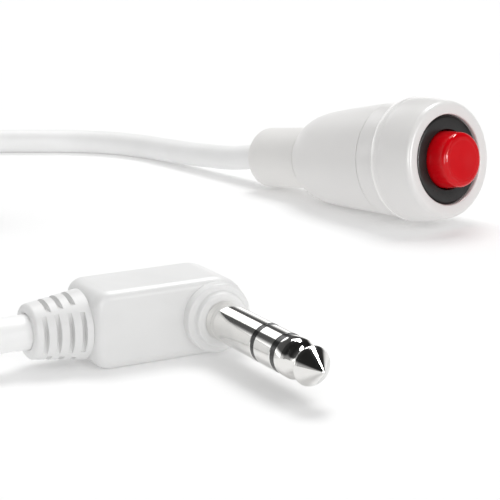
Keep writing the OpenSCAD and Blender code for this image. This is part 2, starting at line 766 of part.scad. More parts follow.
module pin_sleeve() {
    color(nickel) plug_place() difference() {
        union() {
            turned(root_s, root_s + stack_t, root_flange_r);
            turned(root_s, pin_s + overrun, pin_r - pin_root_slim);
            turned(pin_s, rear_band_s, pin_r);
        }
        turned(root_s - overrun, rear_band_s + overrun, outer_tube_r);
    }
}

module pin_rear_band() {
    color(black) plug_place() difference() {
        union() {
            turned(ring_collar_s + stack_t, root_s, ring_collar_r);
            turned(ring_collar_s + stack_t, ring_s, outer_tube_r);
            turned(rear_band_s, ring_s, pin_r);
        }
        turned(ring_collar_s, ring_s + overrun, ring_tube_r);
    }
}

module pin_ring() {
    color(nickel) plug_place() difference() {
        union() {
            turned(ring_collar_s, ring_collar_s + stack_t, ring_collar_r);
            turned(ring_collar_s, front_band_s, ring_tube_r);
            turned(ring_s, front_band_s, pin_r);
        }
        turned(ring_collar_s - overrun, front_band_s + overrun, inner_tube_r);
    }
}

module pin_front_band() {
    color(black) plug_place() difference() {
        union() {
            turned(front_insulator_s, ring_collar_s, front_collar_r);
            turned(front_insulator_s, tip_s, inner_tube_r);
            turned(front_band_s, tip_s, pin_r);
        }
        turned(front_insulator_s - overrun, tip_s + overrun, rod_r);
    }
}

// The tip: a short land, a waist, a shoulder and a point, as shares of its own length and radius
land_share = 0.2;
waist_shares = [[0.26, 0.9], [0.34, 0.68], [0.42, 0.6], [0.5, 0.68], [0.58, 0.88], [0.62, 0.97]];
point_shares = [[0.68, 0.9], [0.97, 0.12], [1, 0]];
module pin_tip() {
    color(nickel) plug_place() {
        rotate_extrude() polygon(concat(
            [[0, tip_s], [pin_r, tip_s], [pin_r, tip_s + land_share * pin_tip_len]],
            [for (p = waist_shares) [p[1] * pin_r, tip_s + p[0] * pin_tip_len]],
            [for (p = point_shares) [p[1] * pin_r, tip_s + p[0] * pin_tip_len]]));
        turned(rod_end_s, tip_s + overrun, rod_r);
        turned(tip_collar_s, front_insulator_s, tip_collar_r);
    }
}

rear_housing();
front_housing();
housing_seal();
cord_sleeve();
cord_in_sleeve();
cord_clamp();
bezel_bushing();
bezel_gasket();
lock_washer();
mounting_nut();
button_cap();
plunger();
plunger_clip();
return_spring();
contact_disc();
terminal_base();
terminal_left();
terminal_right();
lead_left();
lead_right();
cord_run();
cord_coil();
cord_tail();
coil_tie();
plug_body();
plug_core();
plug_relief();
cord_in_plug();
plug_lead_tip();
plug_lead_sleeve();
pin_sleeve();
pin_rear_band();
pin_ring();
pin_front_band();
pin_tip();
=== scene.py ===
import json
from math import atan2, cos, exp, hypot, pi, radians, sin

import bpy
from mathutils import Matrix, Vector


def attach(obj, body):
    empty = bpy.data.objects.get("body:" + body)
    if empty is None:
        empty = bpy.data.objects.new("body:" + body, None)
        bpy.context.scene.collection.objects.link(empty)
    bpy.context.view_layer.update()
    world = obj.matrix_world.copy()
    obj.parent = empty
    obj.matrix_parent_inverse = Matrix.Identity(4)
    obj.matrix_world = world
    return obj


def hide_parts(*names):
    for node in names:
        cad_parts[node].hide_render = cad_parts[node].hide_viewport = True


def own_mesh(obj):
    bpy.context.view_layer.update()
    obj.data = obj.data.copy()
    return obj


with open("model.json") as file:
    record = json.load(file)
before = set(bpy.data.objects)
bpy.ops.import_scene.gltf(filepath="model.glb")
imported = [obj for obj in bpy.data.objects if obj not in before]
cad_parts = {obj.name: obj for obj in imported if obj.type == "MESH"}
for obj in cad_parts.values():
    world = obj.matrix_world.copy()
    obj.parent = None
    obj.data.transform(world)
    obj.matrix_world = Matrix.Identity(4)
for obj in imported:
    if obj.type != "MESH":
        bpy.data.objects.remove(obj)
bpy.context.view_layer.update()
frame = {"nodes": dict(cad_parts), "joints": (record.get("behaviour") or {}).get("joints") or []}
nodes = frame["nodes"]
mm = 0.001
mergeWithin = mm / 500   # points nearer than this are one
print("the packed model is loaded")


# Helpers for modelling by hand: select, draw an outline, turn it, cut it and lay it in its place

def pick(piece):
    if bpy.context.object and bpy.context.object.mode == "EDIT":
        bpy.ops.object.mode_set(mode="OBJECT")
    bpy.ops.object.select_all(action="DESELECT")
    piece.select_set(True)
    bpy.context.view_layer.objects.active = piece


def startPiece(name):
    piece = bpy.context.object
    piece.name = name
    piece.data.name = name
    pick(piece)
    bpy.ops.object.mode_set(mode="EDIT")
    bpy.ops.mesh.select_mode(type="VERT")
    return piece


def selectAll():
    bpy.ops.mesh.select_all(action="SELECT")


def settle(piece, place=None):
    # the mesh takes over the object's own place, or the place that is given
    pick(piece)
    if place is not None:
        piece.matrix_world = place
    bpy.ops.object.transform_apply(location=True, rotation=True, scale=True)


def startPoint(name, x, z):
    # a mesh of one point, at a place in mm, ready to be drawn out
    bpy.ops.mesh.primitive_plane_add(size=mm, location=(x * mm, 0, z * mm))
    piece = startPiece(name)
    selectAll()
    bpy.ops.mesh.merge(type="CENTER")
    return piece


def drawOut(line):
    # draws what is selected along a line of (x, z) in mm
    for (x, z), (nextX, nextZ) in zip(line, line[1:]):
        move = ((nextX - x) * mm, 0, (nextZ - z) * mm)
        bpy.ops.mesh.extrude_region_move(TRANSFORM_OT_translate={"value": move})


def applyModifier(piece, kind, **settings):
    pick(piece)
    modifier = piece.modifiers.new(kind.lower(), kind)
    for setting, value in settings.items():
        setattr(modifier, setting, value)
    bpy.ops.object.modifier_apply(modifier=modifier.name)


def cutWith(piece, tool, operation="DIFFERENCE"):
    applyModifier(piece, "BOOLEAN", object=tool, operation=operation, solver="EXACT")
    bpy.data.objects.remove(tool)


def layInPlace(piece, place, edgeAngle=32):
    # the piece was modelled upright at the origin; its mesh takes its place on the real thing
    settle(piece, place)
    bpy.ops.object.shade_smooth_by_angle(angle=radians(edgeAngle))


def turnOutline(name, outline, steps=96, closed=True):
    # an outline of (radius, height) in mm, drawn point by point and spun about the z axis
    piece = startPoint(name, *outline[0])
    drawOut(outline + outline[:1] if closed else outline)
    selectAll()
    bpy.ops.mesh.spin(steps=steps, angle=2 * pi, center=(0, 0, 0), axis=(0, 0, 1))
    selectAll()
    bpy.ops.mesh.remove_doubles(threshold=mergeWithin)
    bpy.ops.mesh.dissolve_degenerate(threshold=mergeWithin)
    bpy.ops.mesh.normals_make_consistent(inside=False)
    settle(piece)
    return piece


def arc(radius, height, size, fromAngle, toAngle, steps=8):
    # points of a rounding whose middle is at (radius, height)
    points = []
    for i in range(steps + 1):
        angle = radians(fromAngle + (toAngle - fromAngle) * i / steps)
        points.append((radius + size * cos(angle), height + size * sin(angle)))
    return points


def addBlock(name, low, high):
    # a box in mm between two corners, for cutting
    size = [high[i] - low[i] for i in range(3)]
    middle = [(high[i] + low[i]) / 2 * mm for i in range(3)]
    bpy.ops.mesh.primitive_cube_add(size=mm, location=middle, scale=size)
    block = bpy.context.object
    block.name = name
    settle(block)
    return block


def smoothRoute(points, steps):
    # a smooth line through chosen points; each span is a cubic with the headings at its ends
    points = [Vector(point) for point in points]
    spans = [(points[i + 1] - points[i]).length for i in range(len(points) - 1)]
    headings = []
    for i, point in enumerate(points):
        if i == 0:
            heading = points[1] - point
        elif i == len(points) - 1:
            heading = point - points[i - 1]
        else:
            behind = (point - points[i - 1]) / spans[i - 1]
            ahead = (points[i + 1] - point) / spans[i]
            heading = behind * spans[i] + ahead * spans[i - 1]
        headings.append(heading.normalized())
    route = []
    for i, span in enumerate(spans):
        for k in range(steps):
            t = k / steps
            route.append(
                points[i] * (2 * t ** 3 - 3 * t ** 2 + 1)
                + headings[i] * span * (t ** 3 - 2 * t ** 2 + t)
                + points[i + 1] * (3 * t ** 2 - 2 * t ** 3)
                + headings[i + 1] * span * (t ** 3 - t ** 2)
            )
    return route + [points[-1]]


def tubeCurve(name, route, radius, sides=5):
    curve = bpy.data.curves.new(name, "CURVE")
    curve.dimensions = "3D"
    curve.bevel_depth = radius
    curve.bevel_resolution = sides
    curve.use_fill_caps = True
    spline = curve.splines.new("POLY")
    spline.points.add(len(route) - 1)
    for point, place in zip(spline.points, route):
        point.co = (*place, 1)
    spline.use_smooth = True
    piece = bpy.data.objects.new(name, curve)
    bpy.context.collection.objects.link(piece)
    return piece


# Where the pendant and the plug lie. Both are modelled upright: the pendant from the rear end of its
# sleeve, the plug about its pin, with the cord leaving along its own -X.
lying = {
    "exit": (-0.0298464, 0, 0.00673529),   # m, the middle of the sleeve's rear end
    "plugPlace": (0.054, -0.09, 0.0063),   # m, where the pin's axis crosses the cord's
    "plugTurn": -12,                       # degrees
}
pressAxis = Vector(frame["joints"][0]["axis"])
pendantAxis = -pressAxis.normalized()
pendantTilt = atan2(pendantAxis.z, pendantAxis.x)
exitPoint = Vector(lying["exit"])
pendantPlace = Matrix.Translation(exitPoint) @ Matrix.Rotation(pi / 2 - pendantTilt, 4, "Y")
plugPlace = (
    Matrix.Translation(lying["plugPlace"])
    @ Matrix.Rotation(radians(90 + lying["plugTurn"]), 4, "Z")
    @ Matrix.Rotation(pi / 2, 4, "X")
)
reliefPlace = plugPlace @ Matrix.Rotation(-pi / 2, 4, "Y")


# Camera, at the photograph's own place and angle
view = {
    "place": (0.27096, -0.26812, 0.08618),   # m
    "turn": 48.84,                           # degrees to the left of +Y
    "down": 14.1,                            # degrees below the horizon
    "lens": 129.64,
    "sensor": 36,
    "nearest": 0.01,
}
bpy.ops.object.camera_add(
    location=view["place"],
    rotation=(radians(90 - view["down"]), 0, radians(view["turn"])),
)
camera = bpy.context.object
camera.data.lens = view["lens"]
camera.data.sensor_width = view["sensor"]
camera.data.clip_start = view["nearest"]
bpy.context.scene.camera = camera
print("camera set")


# Pendant: stations in mm along its axis, from the rear end of its sleeve
station = {
    "crease": 15.6,      # the sleeve meets the neck
    "cavity": 21.6,
    "seam": 41.2,        # the rear shell meets the front shell
    "ridge": 46.3,       # rear edge of the collar
    "face": 56.45,       # front of the collar
    "bezel": 56.0,       # front of the black bezel
    "flange": 54.8,
    "recess": 54.4,
    "wall": 52.6,
    "barrel": 39.0,
    "pocket": 50.1,
    "web": 46.1,
    "capFront": 60.3,
    "capRoof": 57.3,
    "capRear": 52.4,
}
# The bell at the rear, and the band with the stepped collar in front of it
shell = {
    "neckRadius": 6.6,
    "seamRadius": 11.9,
    "bandRadius": 12,
    "ridgeRadius": 13,
    "frontRadius": 12.1,
    "flareLength": 2.8,
    "flareEase": 0.4,
    "evenShare": 0.44,       # of the bell's growth that is even along its length
    "wall": 1.2,
    "seamChamfer": 0.1,
    "seamGap": 0.19,         # a fine dark line between the two shells
    "lipLength": 1.4,        # the collar's rear edge is a long, low rounding
    "lipDrop": 0.5,
    "beadWidth": 0.8,        # in front of it the collar dips a little
    "beadSink": 0.1,
    "ridgeFoot": 0.25,       # small fillet in the corner behind the ridge
    "faceRound": 1.1,
    "mouthRound": 0.35,
    "recessRadius": 9.25,
    "holeRadius": 8.1,
    "tailBore": 4.55,
    "spigotLength": 4.4,
    "spigotWall": 1.4,
    "fit": 0.05,
    "sealPlace": 1,
    "sealWidth": 1,
    "sealDepth": 0.7,
    "snapHeight": 0.25,
    "snapWidth": 0.8,
    "bellCrowding": 1.6,     # points stand closer where the outline turns more
    "sideCrowding": 1.5,
    "beadSharpness": 3,
    "bellSteps": 48,
    "lipSteps": 14,
    "sideSteps": 32,
}
cavityRadius = shell["bandRadius"] - shell["wall"]
spigotRadius = cavityRadius - shell["fit"]


def flare(length):
    ease = shell["flareEase"]
    return 1 - exp(-(hypot(length, ease) - ease) / shell["flareLength"])


def bellRadius(place):
    along, length = place - station["crease"], station["seam"] - station["crease"]
    even = shell["evenShare"]
    grown = even * along / length + (1 - even) * flare(along) / flare(length)
    return shell["neckRadius"] + (shell["seamRadius"] - shell["neckRadius"]) * grown


def makeRearShell():
    seam = station["seam"]
    cut = shell["seamChamfer"]
    start = station["crease"]
    spigotEnd = seam + shell["spigotLength"]
    spigotBore = spigotRadius - shell["spigotWall"]
    snap = spigotEnd - 2 * shell["snapWidth"]
    seal = seam + shell["sealPlace"]
    sealBottom = spigotRadius - shell["sealDepth"]
    steps = shell["bellSteps"]
    shares = [(i / steps) ** shell["bellCrowding"] for i in range(steps + 1)]
    places = [start + (seam - cut - start) * share for share in shares]
    outline = [(shell["tailBore"], start)]
    outline += [(bellRadius(place), place) for place in places]
    outline += [
        (shell["seamRadius"] - cut, seam),
        (spigotRadius, seam),
        (spigotRadius, seal),
        (sealBottom, seal),
        (sealBottom, seal + shell["sealWidth"]),
        (spigotRadius, seal + shell["sealWidth"]),
        (spigotRadius, snap),
        (spigotRadius + shell["snapHeight"], snap + shell["snapWidth"] / 2),
        (spigotRadius, snap + shell["snapWidth"]),
        (spigotRadius, spigotEnd - cut),
        (spigotRadius - cut, spigotEnd),
        (spigotBore, spigotEnd),
    ]
    cavity = [seam + (station["cavity"] - seam) * i / 30 for i in range(31)]
    outline += [(min(bellRadius(place) - shell["wall"], spigotBore), place) for place in cavity]
    outline += [(shell["tailBore"], station["cavity"])]
    return turnOutline("rearShell", outline, 128)


def makeFrontShell():
    seam, ridge, face = station["seam"], station["ridge"], station["face"]
    cut = shell["seamChamfer"]
    lip, drop, faceRound = shell["lipLength"], shell["lipDrop"], shell["faceRound"]
    mouthRound, foot = shell["mouthRound"], shell["ridgeFoot"]
    band, recessRadius = shell["bandRadius"], shell["recessRadius"]
    sideStart = ridge + lip
    sideLength = face - faceRound - sideStart
    bulge = (shell["ridgeRadius"] - shell["frontRadius"]) / sideLength ** 2
    snap = seam + shell["spigotLength"] - 2 * shell["snapWidth"]
    rear = seam + shell["seamGap"]
    outline = [(cavityRadius, rear), (band - cut, rear), (band, rear + cut)]
    outline += arc(band + foot, ridge - foot, foot, 180, 90, 4)
    for i in range(shell["lipSteps"] + 1):
        angle = pi / 2 * (1 - i / shell["lipSteps"])
        place = (shell["ridgeRadius"] - drop * (1 - cos(angle)), sideStart - lip * sin(angle))
        outline.append(place)
    for i in range(1, shell["sideSteps"] + 1):
        along = sideLength * (i / shell["sideSteps"]) ** shell["sideCrowding"]
        away = (along / shell["beadWidth"] - 1) ** 2
        dip = shell["beadSink"] * exp(-away * shell["beadSharpness"])
        outline.append((shell["ridgeRadius"] - bulge * along ** 2 - dip, sideStart + along))
    outline += arc(shell["frontRadius"] - faceRound, face - faceRound, faceRound, 12, 90, 10)
    outline += arc(recessRadius + mouthRound, face - mouthRound, mouthRound, 90, 180, 6)
    outline += [
        (recessRadius, station["recess"]),
        (shell["holeRadius"], station["recess"]),
        (shell["holeRadius"], station["wall"]),
        (cavityRadius, station["wall"]),
        (cavityRadius, snap + shell["snapWidth"] + shell["fit"]),
        (cavityRadius + shell["snapHeight"], snap + shell["snapWidth"] / 2),
        (cavityRadius, snap - shell["fit"]),
    ]
    return turnOutline("frontShell", outline, 128)


# Soft sleeve at the rear, where the cord comes out
boot = {
    "radius": 6.7,
    "bore": 2.85,
    "rearRound": 2,
    "mouthRound": 0.3,
    "tailRadius": 4.5,
    "flangeStart": 21.7,
    "flangeEnd": 23.1,
    "flangeRadius": 5.4,
    "frontChamfer": 0.05,
}


def makeSleeve():
    bore, mouth = boot["bore"], boot["mouthRound"]
    radius, rear = boot["radius"], boot["rearRound"]
    cut, crease = boot["frontChamfer"], station["crease"]
    outline = arc(bore + mouth, mouth, mouth, 180, 270, 4)
    outline += arc(radius - rear, rear, rear, -90, 0, 14)
    outline += [(radius, crease / 3), (radius, crease * 2 / 3)]
    outline += [
        (radius, crease - cut),
        (radius - cut, crease),
        (boot["tailRadius"], crease),
        (boot["tailRadius"], boot["flangeStart"]),
        (boot["flangeRadius"], boot["flangeStart"]),
        (boot["flangeRadius"], boot["flangeEnd"]),
        (bore, boot["flangeEnd"]),
    ]
    return turnOutline("sleeveBoot", outline, 96)


# Black bezel with its threaded barrel
bezel = {
    "radius": 9.15,
    "edgeRound": 0.7,
    "pocketRadius": 6.15,
    "pocketRound": 0.2,
    "barrelRadius": 8,
    "threadDepth": 0.3,
    "threadPitch": 0.75,
    "threadEnd": 52.2,
    "chamberRadius": 6.9,
    "stemBore": 2.05,
}


def makeBezel():
    front, flange, barrel = station["bezel"], station["flange"], station["barrel"]
    edge, pocketRound = bezel["edgeRound"], bezel["pocketRound"]
    outline = arc(bezel["pocketRadius"] + pocketRound, front - pocketRound, pocketRound, 180, 90, 4)
    outline += arc(bezel["radius"] - edge, front - edge, edge, 90, 0, 10)
    outline += [(bezel["radius"], flange), (bezel["barrelRadius"], flange)]
    pitch, depth = bezel["threadPitch"], bezel["threadDepth"]
    outline.append((bezel["barrelRadius"], bezel["threadEnd"]))
    for i in range(int((bezel["threadEnd"] - barrel) / pitch) - 1):
        place = bezel["threadEnd"] - pitch * i
        outline.append((bezel["barrelRadius"] - depth, place - pitch / 2))
        outline.append((bezel["barrelRadius"], place - pitch))
    outline += [
        (bezel["barrelRadius"] - depth, barrel),
        (bezel["chamberRadius"], barrel),
        (bezel["chamberRadius"], station["web"]),
        (bezel["stemBore"], station["web"]),
        (bezel["stemBore"], station["pocket"]),
        (bezel["pocketRadius"], station["pocket"]),
    ]
    return turnOutline("switchBezel", outline, 112)


# Red cap with a shallow dish and a hub for the plunger
cap = {
    "radius": 5.9,
    "taper": 0.3,
    "edgeRound": 1,
    "dishDepth": 0.35,
    "wall": 1,
    "hubRadius": 3,
    "hubBore": 2.025,
    "hubLift": 1,
    "dishSteps": 24,
}


def makeCap():
    front, roof, rear = station["capFront"], station["capRoof"], station["capRear"]
    edge = cap["edgeRound"]
    rim = cap["radius"] - cap["taper"] - edge
    inner = cap["radius"] - cap["wall"]
    outline = [(0, roof), (cap["hubBore"], roof), (cap["hubBore"], rear + cap["hubLift"])]
    outline += [(cap["hubRadius"], rear + cap["hubLift"]), (cap["hubRadius"], roof)]
    outline += [(inner, roof), (inner, rear), (cap["radius"], rear)]
    outline += [(cap["radius"], station["bezel"])]
    outline += arc(rim, front - edge, edge, 0, 90, 12)
    for i in range(1, cap["dishSteps"] + 1):
        share = 1 - i / cap["dishSteps"]
        outline.append((rim * share, front - cap["dishDepth"] * (1 + cos(pi * share)) / 2))
    return turnOutline("redCap", outline, 112, closed=False)


# Return spring behind the cap
spring = {
    "radius": 3.9,
    "wire": 0.6,
    "turns": 5,
    "stepsPerTurn": 28,
}


def makeSpring():
    wire = spring["wire"]
    low, high = station["pocket"] + wire / 2, station["capRoof"] - wire / 2
    bpy.ops.mesh.primitive_circle_add(
        vertices=10, radius=wire / 2 * mm, fill_type="NGON",
        location=(spring["radius"] * mm, 0, low * mm), rotation=(pi / 2, 0, 0),
    )
    piece = bpy.context.object
    piece.name = "returnSpring"
    settle(piece)
    steps = spring["turns"] * spring["stepsPerTurn"]
    applyModifier(
        piece, "SCREW", angle=2 * pi * spring["turns"], axis="Z", steps=steps, render_steps=steps,
        screw_offset=(high - low) * mm, use_merge_vertices=False,
    )
    bpy.ops.object.mode_set(mode="EDIT")
    selectAll()
    bpy.ops.mesh.remove_doubles(threshold=mergeWithin)
    bpy.ops.mesh.normals_make_consistent(inside=False)
    bpy.ops.object.mode_set(mode="OBJECT")
    return piece


rearShell = makeRearShell()
frontShell = makeFrontShell()
sleeveBoot = makeSleeve()
switchBezel = makeBezel()
redCap = makeCap()
returnSpring = makeSpring()
for piece in (rearShell, frontShell, sleeveBoot, switchBezel, redCap, returnSpring):
    layInPlace(piece, pendantPlace)
print("pendant modelled")


# Plug: a body with two steps round the pin
plug = {
    "thickness": 12.6,
    "width": 12.8,        # along the pin
    "length": 20.6,       # from the pin's axis to the strain relief
    "frontRound": 1.5,
    "backRound": 2.4,
    "cornerRound": 2.6,
    "bossRadius": 5.6,
    "bossHeight": 1.6,
    "collarRadius": 4.4,
    "collarHeight": 1.2,
    "bossRound": 0.35,
    "coreLow": (-7, -4.3, -4.6),
    "coreHigh": (4.6, 4.3, 5.6),
    "pinBore": 3.0,
    "leadRoomStart": -6.5,
    "leadRoomEnd": -15.6,
    "leadRoomHalf": 3.2,
    "cordBore": 2.85,
    "cordBoreStart": 15,
    "overrun": 1,         # how far a cutting piece goes on outside
    "rootDepth": 3,
    "rootRadius": 4.65,
}


slack = 0.01   # mm, how near is near enough when points are selected


def selectWhere(piece, test):
    # selects the points whose place in mm passes a test, with the edges between them
    bpy.ops.mesh.select_mode(type="VERT")
    bpy.ops.mesh.select_all(action="DESELECT")
    bpy.ops.object.mode_set(mode="OBJECT")
    for corner in piece.data.vertices:
        corner.select = test(corner.co / mm)
    bpy.ops.object.mode_set(mode="EDIT")


def makePlugShell():
    half, width = plug["thickness"] / 2, plug["width"]
    # the round head of the body, of which half is kept and drawn out towards the cord
    bpy.ops.mesh.primitive_circle_add(
        vertices=72, radius=half * mm, fill_type="NGON", location=(0, 0, -width / 2 * mm))
    piece = bpy.context.object
    piece.name = "plugShell"
    settle(piece)
    bpy.ops.object.mode_set(mode="EDIT")
    selectAll()
    bpy.ops.mesh.bisect(plane_co=(0, 0, 0), plane_no=(1, 0, 0), clear_inner=True)
    selectWhere(piece, lambda end: abs(end.x) < slack)
    bpy.ops.mesh.extrude_region_move(
        TRANSFORM_OT_translate={"value": (-plug["length"] * mm, 0, 0)})
    selectWhere(piece, lambda end: end.x < slack - plug["length"])
    bpy.ops.mesh.bevel(offset=plug["cornerRound"] * mm, segments=10, affect="VERTICES")
    selectAll()
    bpy.ops.mesh.dissolve_limited(angle_limit=radians(1))
    selectAll()
    bpy.ops.mesh.extrude_region_move(TRANSFORM_OT_translate={"value": (0, 0, width * mm)})
    selectAll()
    bpy.ops.mesh.normals_make_consistent(inside=False)
    selectWhere(piece, lambda end: end.z > width / 2 - slack)
    bpy.ops.mesh.bevel(offset=plug["frontRound"] * mm, segments=8, affect="EDGES")
    selectWhere(piece, lambda end: end.z < slack - width / 2)
    bpy.ops.mesh.bevel(offset=plug["backRound"] * mm, segments=8, affect="EDGES")
    bpy.ops.object.mode_set(mode="OBJECT")

    step = width / 2 + plug["bossHeight"]
    top = step + plug["collarHeight"]
    edge = plug["bossRound"]
    over, bore, boreStart = plug["overrun"], plug["cordBore"], plug["cordBoreStart"]
    boss = [(0, 0), (plug["bossRadius"], 0)]
    boss += arc(plug["bossRadius"] - edge, step - edge, edge, 0, 90, 5)
    boss += arc(plug["collarRadius"] + edge, step + edge, edge, 270, 180, 4)
    boss += arc(plug["collarRadius"] - edge, top - edge, edge, 0, 90, 5)
    boss += [(0, top)]
    cutWith(piece, turnOutline("boss", boss, 96, closed=False), "UNION")

    cutWith(piece, addBlock("core", plug["coreLow"], plug["coreHigh"]))
    pinHole = [(0, 0), (plug["pinBore"], 0), (plug["pinBore"], top + over), (0, top + over)]
    cutWith(piece, turnOutline("pinHole", pinHole, 64, closed=False))
    room = plug["leadRoomHalf"]
    cutWith(piece, addBlock(
        "leadRoom", (plug["leadRoomEnd"], -room, -room), (plug["leadRoomStart"], room, room)))
    root = plug["length"] - plug["rootDepth"]
    cordHole = [(0, boreStart), (bore, boreStart), (bore, root), (plug["rootRadius"], root)]
    cordHole += [(plug["rootRadius"], plug["length"] + over), (0, plug["length"] + over)]
    channel = turnOutline("cordHole", cordHole, 64, closed=False)
    settle(channel, Matrix.Rotation(-pi / 2, 4, "Y"))
    cutWith(piece, channel)
    return piece


# Slotted strain relief, which goes on from the body
relief = {
    "length": 9,
    "rootRadius": 5.6,
    "endRadius": 4.4,
    "endRound": 0.6,
    "boreRound": 0.2,
    "fit": 0.05,
    "rows": 7,
    "slotWidth": 0.8,
    "slotDepth": 1.3,
    "slotSpan": 6.4,
}


def makeRelief():
    start = plug["length"]
    end = start + relief["length"]
    root = start - plug["rootDepth"]
    edge, mouth, bore = relief["endRound"], relief["boreRound"], plug["cordBore"]
    foot = plug["rootRadius"] - relief["fit"]
    outline = [(bore, root), (foot, root), (foot, start), (relief["rootRadius"], start)]
    outline += arc(relief["endRadius"] - edge, end - edge, edge, 0, 90, 6)
    outline += arc(bore + mouth, end - mouth, mouth, 90, 180, 3)
    piece = turnOutline("plugRelief", outline, 96)
    # slots in turn on the two sides and on the top and bottom
    span = relief["slotSpan"] / 2
    for i in range(relief["rows"]):
        share = (i + 1) / (relief["rows"] + 2)
        place = start + relief["length"] * share
        radius = relief["rootRadius"] + (relief["endRadius"] - relief["rootRadius"]) * share
        for side in (0, 180):
            slot = addBlock(
                "slot", (radius - relief["slotDepth"], -span, place),
                (radius + plug["overrun"], span, place + relief["slotWidth"]))
            settle(slot, Matrix.Rotation(radians(side + 90 * (i % 2)), 4, "Z"))
            cutWith(piece, slot)
    return piece


plugShell = makePlugShell()
plugRelief = makeRelief()
layInPlace(plugShell, plugPlace, 40)
applyModifier(plugShell, "WEIGHTED_NORMAL", keep_sharp=True)
layInPlace(plugRelief, reliefPlace)
print("plug modelled")


# Jack pin: five turned pieces, one in the other
pin = {
    "radius": 3.175,
    "edge": 0.12,
    "bandSink": 0.05,       # the black bands lie this far below the metal
    "root": 2.2,
    "stack": 0.9,
    "start": 9.2,           # here the sleeve starts, and at the next four the other pieces
    "rearBand": 23.4,
    "ring": 24.4,
    "frontBand": 29.3,
    "tip": 30.5,
    "tipLength": 9.08,
    "rod": 0.8,
    "innerTube": 1.35,
    "ringTube": 1.9,
    "outerTube": 2.4,
    "rootRadius": 2.955,
    "rootFlange": 4,
    "ringCollar": 3,
    "frontCollar": 2.6,
    "tipCollar": 2.2,
    "land": 0.2,            # shares of the tip's length and radius
    "waist": ((0.26, 0.9), (0.34, 0.68), (0.42, 0.6), (0.5, 0.68), (0.58, 0.88), (0.62, 0.97)),
    "point": ((0.68, 0.9), (0.97, 0.12), (1, 0)),
}


def makePinPieces():
    radius, edge = pin["radius"], pin["edge"]
    band = radius - pin["bandSink"]
    root, stack = pin["root"], pin["stack"]
    ringCollar = root - 3 * stack
    frontInsulator = ringCollar - stack
    tipCollar = frontInsulator - stack
    rodEnd = tipCollar - stack
    rod, inner, ringTube, outer = pin["rod"], pin["innerTube"], pin["ringTube"], pin["outerTube"]
    start, rearBand, ring = pin["start"], pin["rearBand"], pin["ring"]
    frontBand, tip = pin["frontBand"], pin["tip"]

    def metalLength(low, high):
        # the outside of a metal piece, with a fine chamfer at each end
        rim = radius - edge
        return [(rim, low), (radius, low + edge), (radius, high - edge), (rim, high)]

    sleeve = [(outer, root), (pin["rootFlange"], root), (pin["rootFlange"], root + stack)]
    sleeve += [(pin["rootRadius"], root + stack), (pin["rootRadius"], start)]
    sleeve += metalLength(start, rearBand) + [(outer, rearBand)]
    rear = [(ringTube, ringCollar + stack), (pin["ringCollar"], ringCollar + stack)]
    rear += [(pin["ringCollar"], root), (outer, root), (outer, rearBand), (band, rearBand)]
    rear += [(band, ring), (ringTube, ring)]
    middle = [(inner, ringCollar), (pin["ringCollar"], ringCollar)]
    middle += [(pin["ringCollar"], ringCollar + stack), (ringTube, ringCollar + stack)]
    middle += [(ringTube, ring)]
    middle += metalLength(ring, frontBand) + [(inner, frontBand)]
    front = [(rod, frontInsulator), (pin["frontCollar"], frontInsulator)]
    front += [(pin["frontCollar"], ringCollar), (inner, ringCollar), (inner, frontBand)]
    front += [(band, frontBand), (band, tip), (rod, tip)]
    point = [(0, rodEnd), (rod, rodEnd), (rod, tipCollar), (pin["tipCollar"], tipCollar)]
    point += [(pin["tipCollar"], frontInsulator), (rod, frontInsulator), (rod, tip)]
    point += [(radius - edge, tip), (radius, tip + edge)]
    length = pin["tipLength"]
    shaped = [(pin["land"], 1), *pin["waist"], *pin["point"][:1]]
    waist = smoothRoute([(share * radius, tip + along * length, 0) for along, share in shaped], 8)
    point += [(place.x, place.y) for place in waist]
    noseAlong, noseRadius = pin["point"][1]
    point += arc(0, tip + noseAlong * length, noseRadius * radius, 20, 90, 6)
    turned = [
        turnOutline("pinSleeve", sleeve, 80),
        turnOutline("pinRearBand", rear, 80),
        turnOutline("pinRing", middle, 80),
        turnOutline("pinFrontBand", front, 80),
        turnOutline("pinTip", point, 128, closed=False),
    ]
    for piece in turned:
        layInPlace(piece, plugPlace)
    return turned


pinSleeve, pinRearBand, pinRing, pinFrontBand, pinTip = makePinPieces()
print("jack pin turned")


# Cord: a run to the coil, four layers of turns, and a tail to the plug
cord = {
    "diameter": 0.0056,
    "length": 2.15,
    "turns": 9.1,
    "layers": 4,
    "innerRadius": 0.0245,
    "pitch": 0.0062,
    "climb": 0.5,                # turns that the step up to the next layer takes
    "centre": (-0.064, -0.11),
    "startAngle": 240,           # degrees round the coil where the cord joins it
    "strap": 0.0006,             # the coil stands on its strap
    "approach": 1.5,             # diameters of cord on a coil's tangent
    "stepsPerTurn": 60,
    "stepsPerSpan": 7,
}
cordRadius = cord["diameter"] / 2
lie = cordRadius   # height of its middle line where it lies on the floor
runPoints = [
    (-0.042, 0, lie + 0.002), (-0.05, 0, lie + 0.0013), (-0.058, 0, lie + 0.0007),
    (-0.066, 0, lie + 0.0003), (-0.075, -0.0005, lie + 0.00005), (-0.084, -0.0035, lie),
    (-0.092, -0.009, lie), (-0.099, -0.0165, lie), (-0.106, -0.025, lie), (-0.1125, -0.0345, lie),
    (-0.118, -0.045, lie), (-0.1219, -0.057, lie), (-0.1237, -0.07, lie), (-0.1237, -0.083, lie),
    (-0.1219, -0.096, lie), (-0.1175, -0.1085, lie), (-0.1105, -0.12, lie), (-0.1015, -0.13, lie),
]
tailPoints = [
    (-0.036, -0.1475, lie + 0.017), (-0.024, -0.148, lie + 0.012), (-0.012, -0.149, lie + 0.0065),
    (0, -0.1499, lie + 0.0025), (0.012, -0.1503, lie + 0.0005), (0.023, -0.1502, lie),
    (0.033, -0.1485, lie + 0.0001), (0.04, -0.1435, lie + 0.0005), (0.044, -0.1365, lie + 0.0014),
]


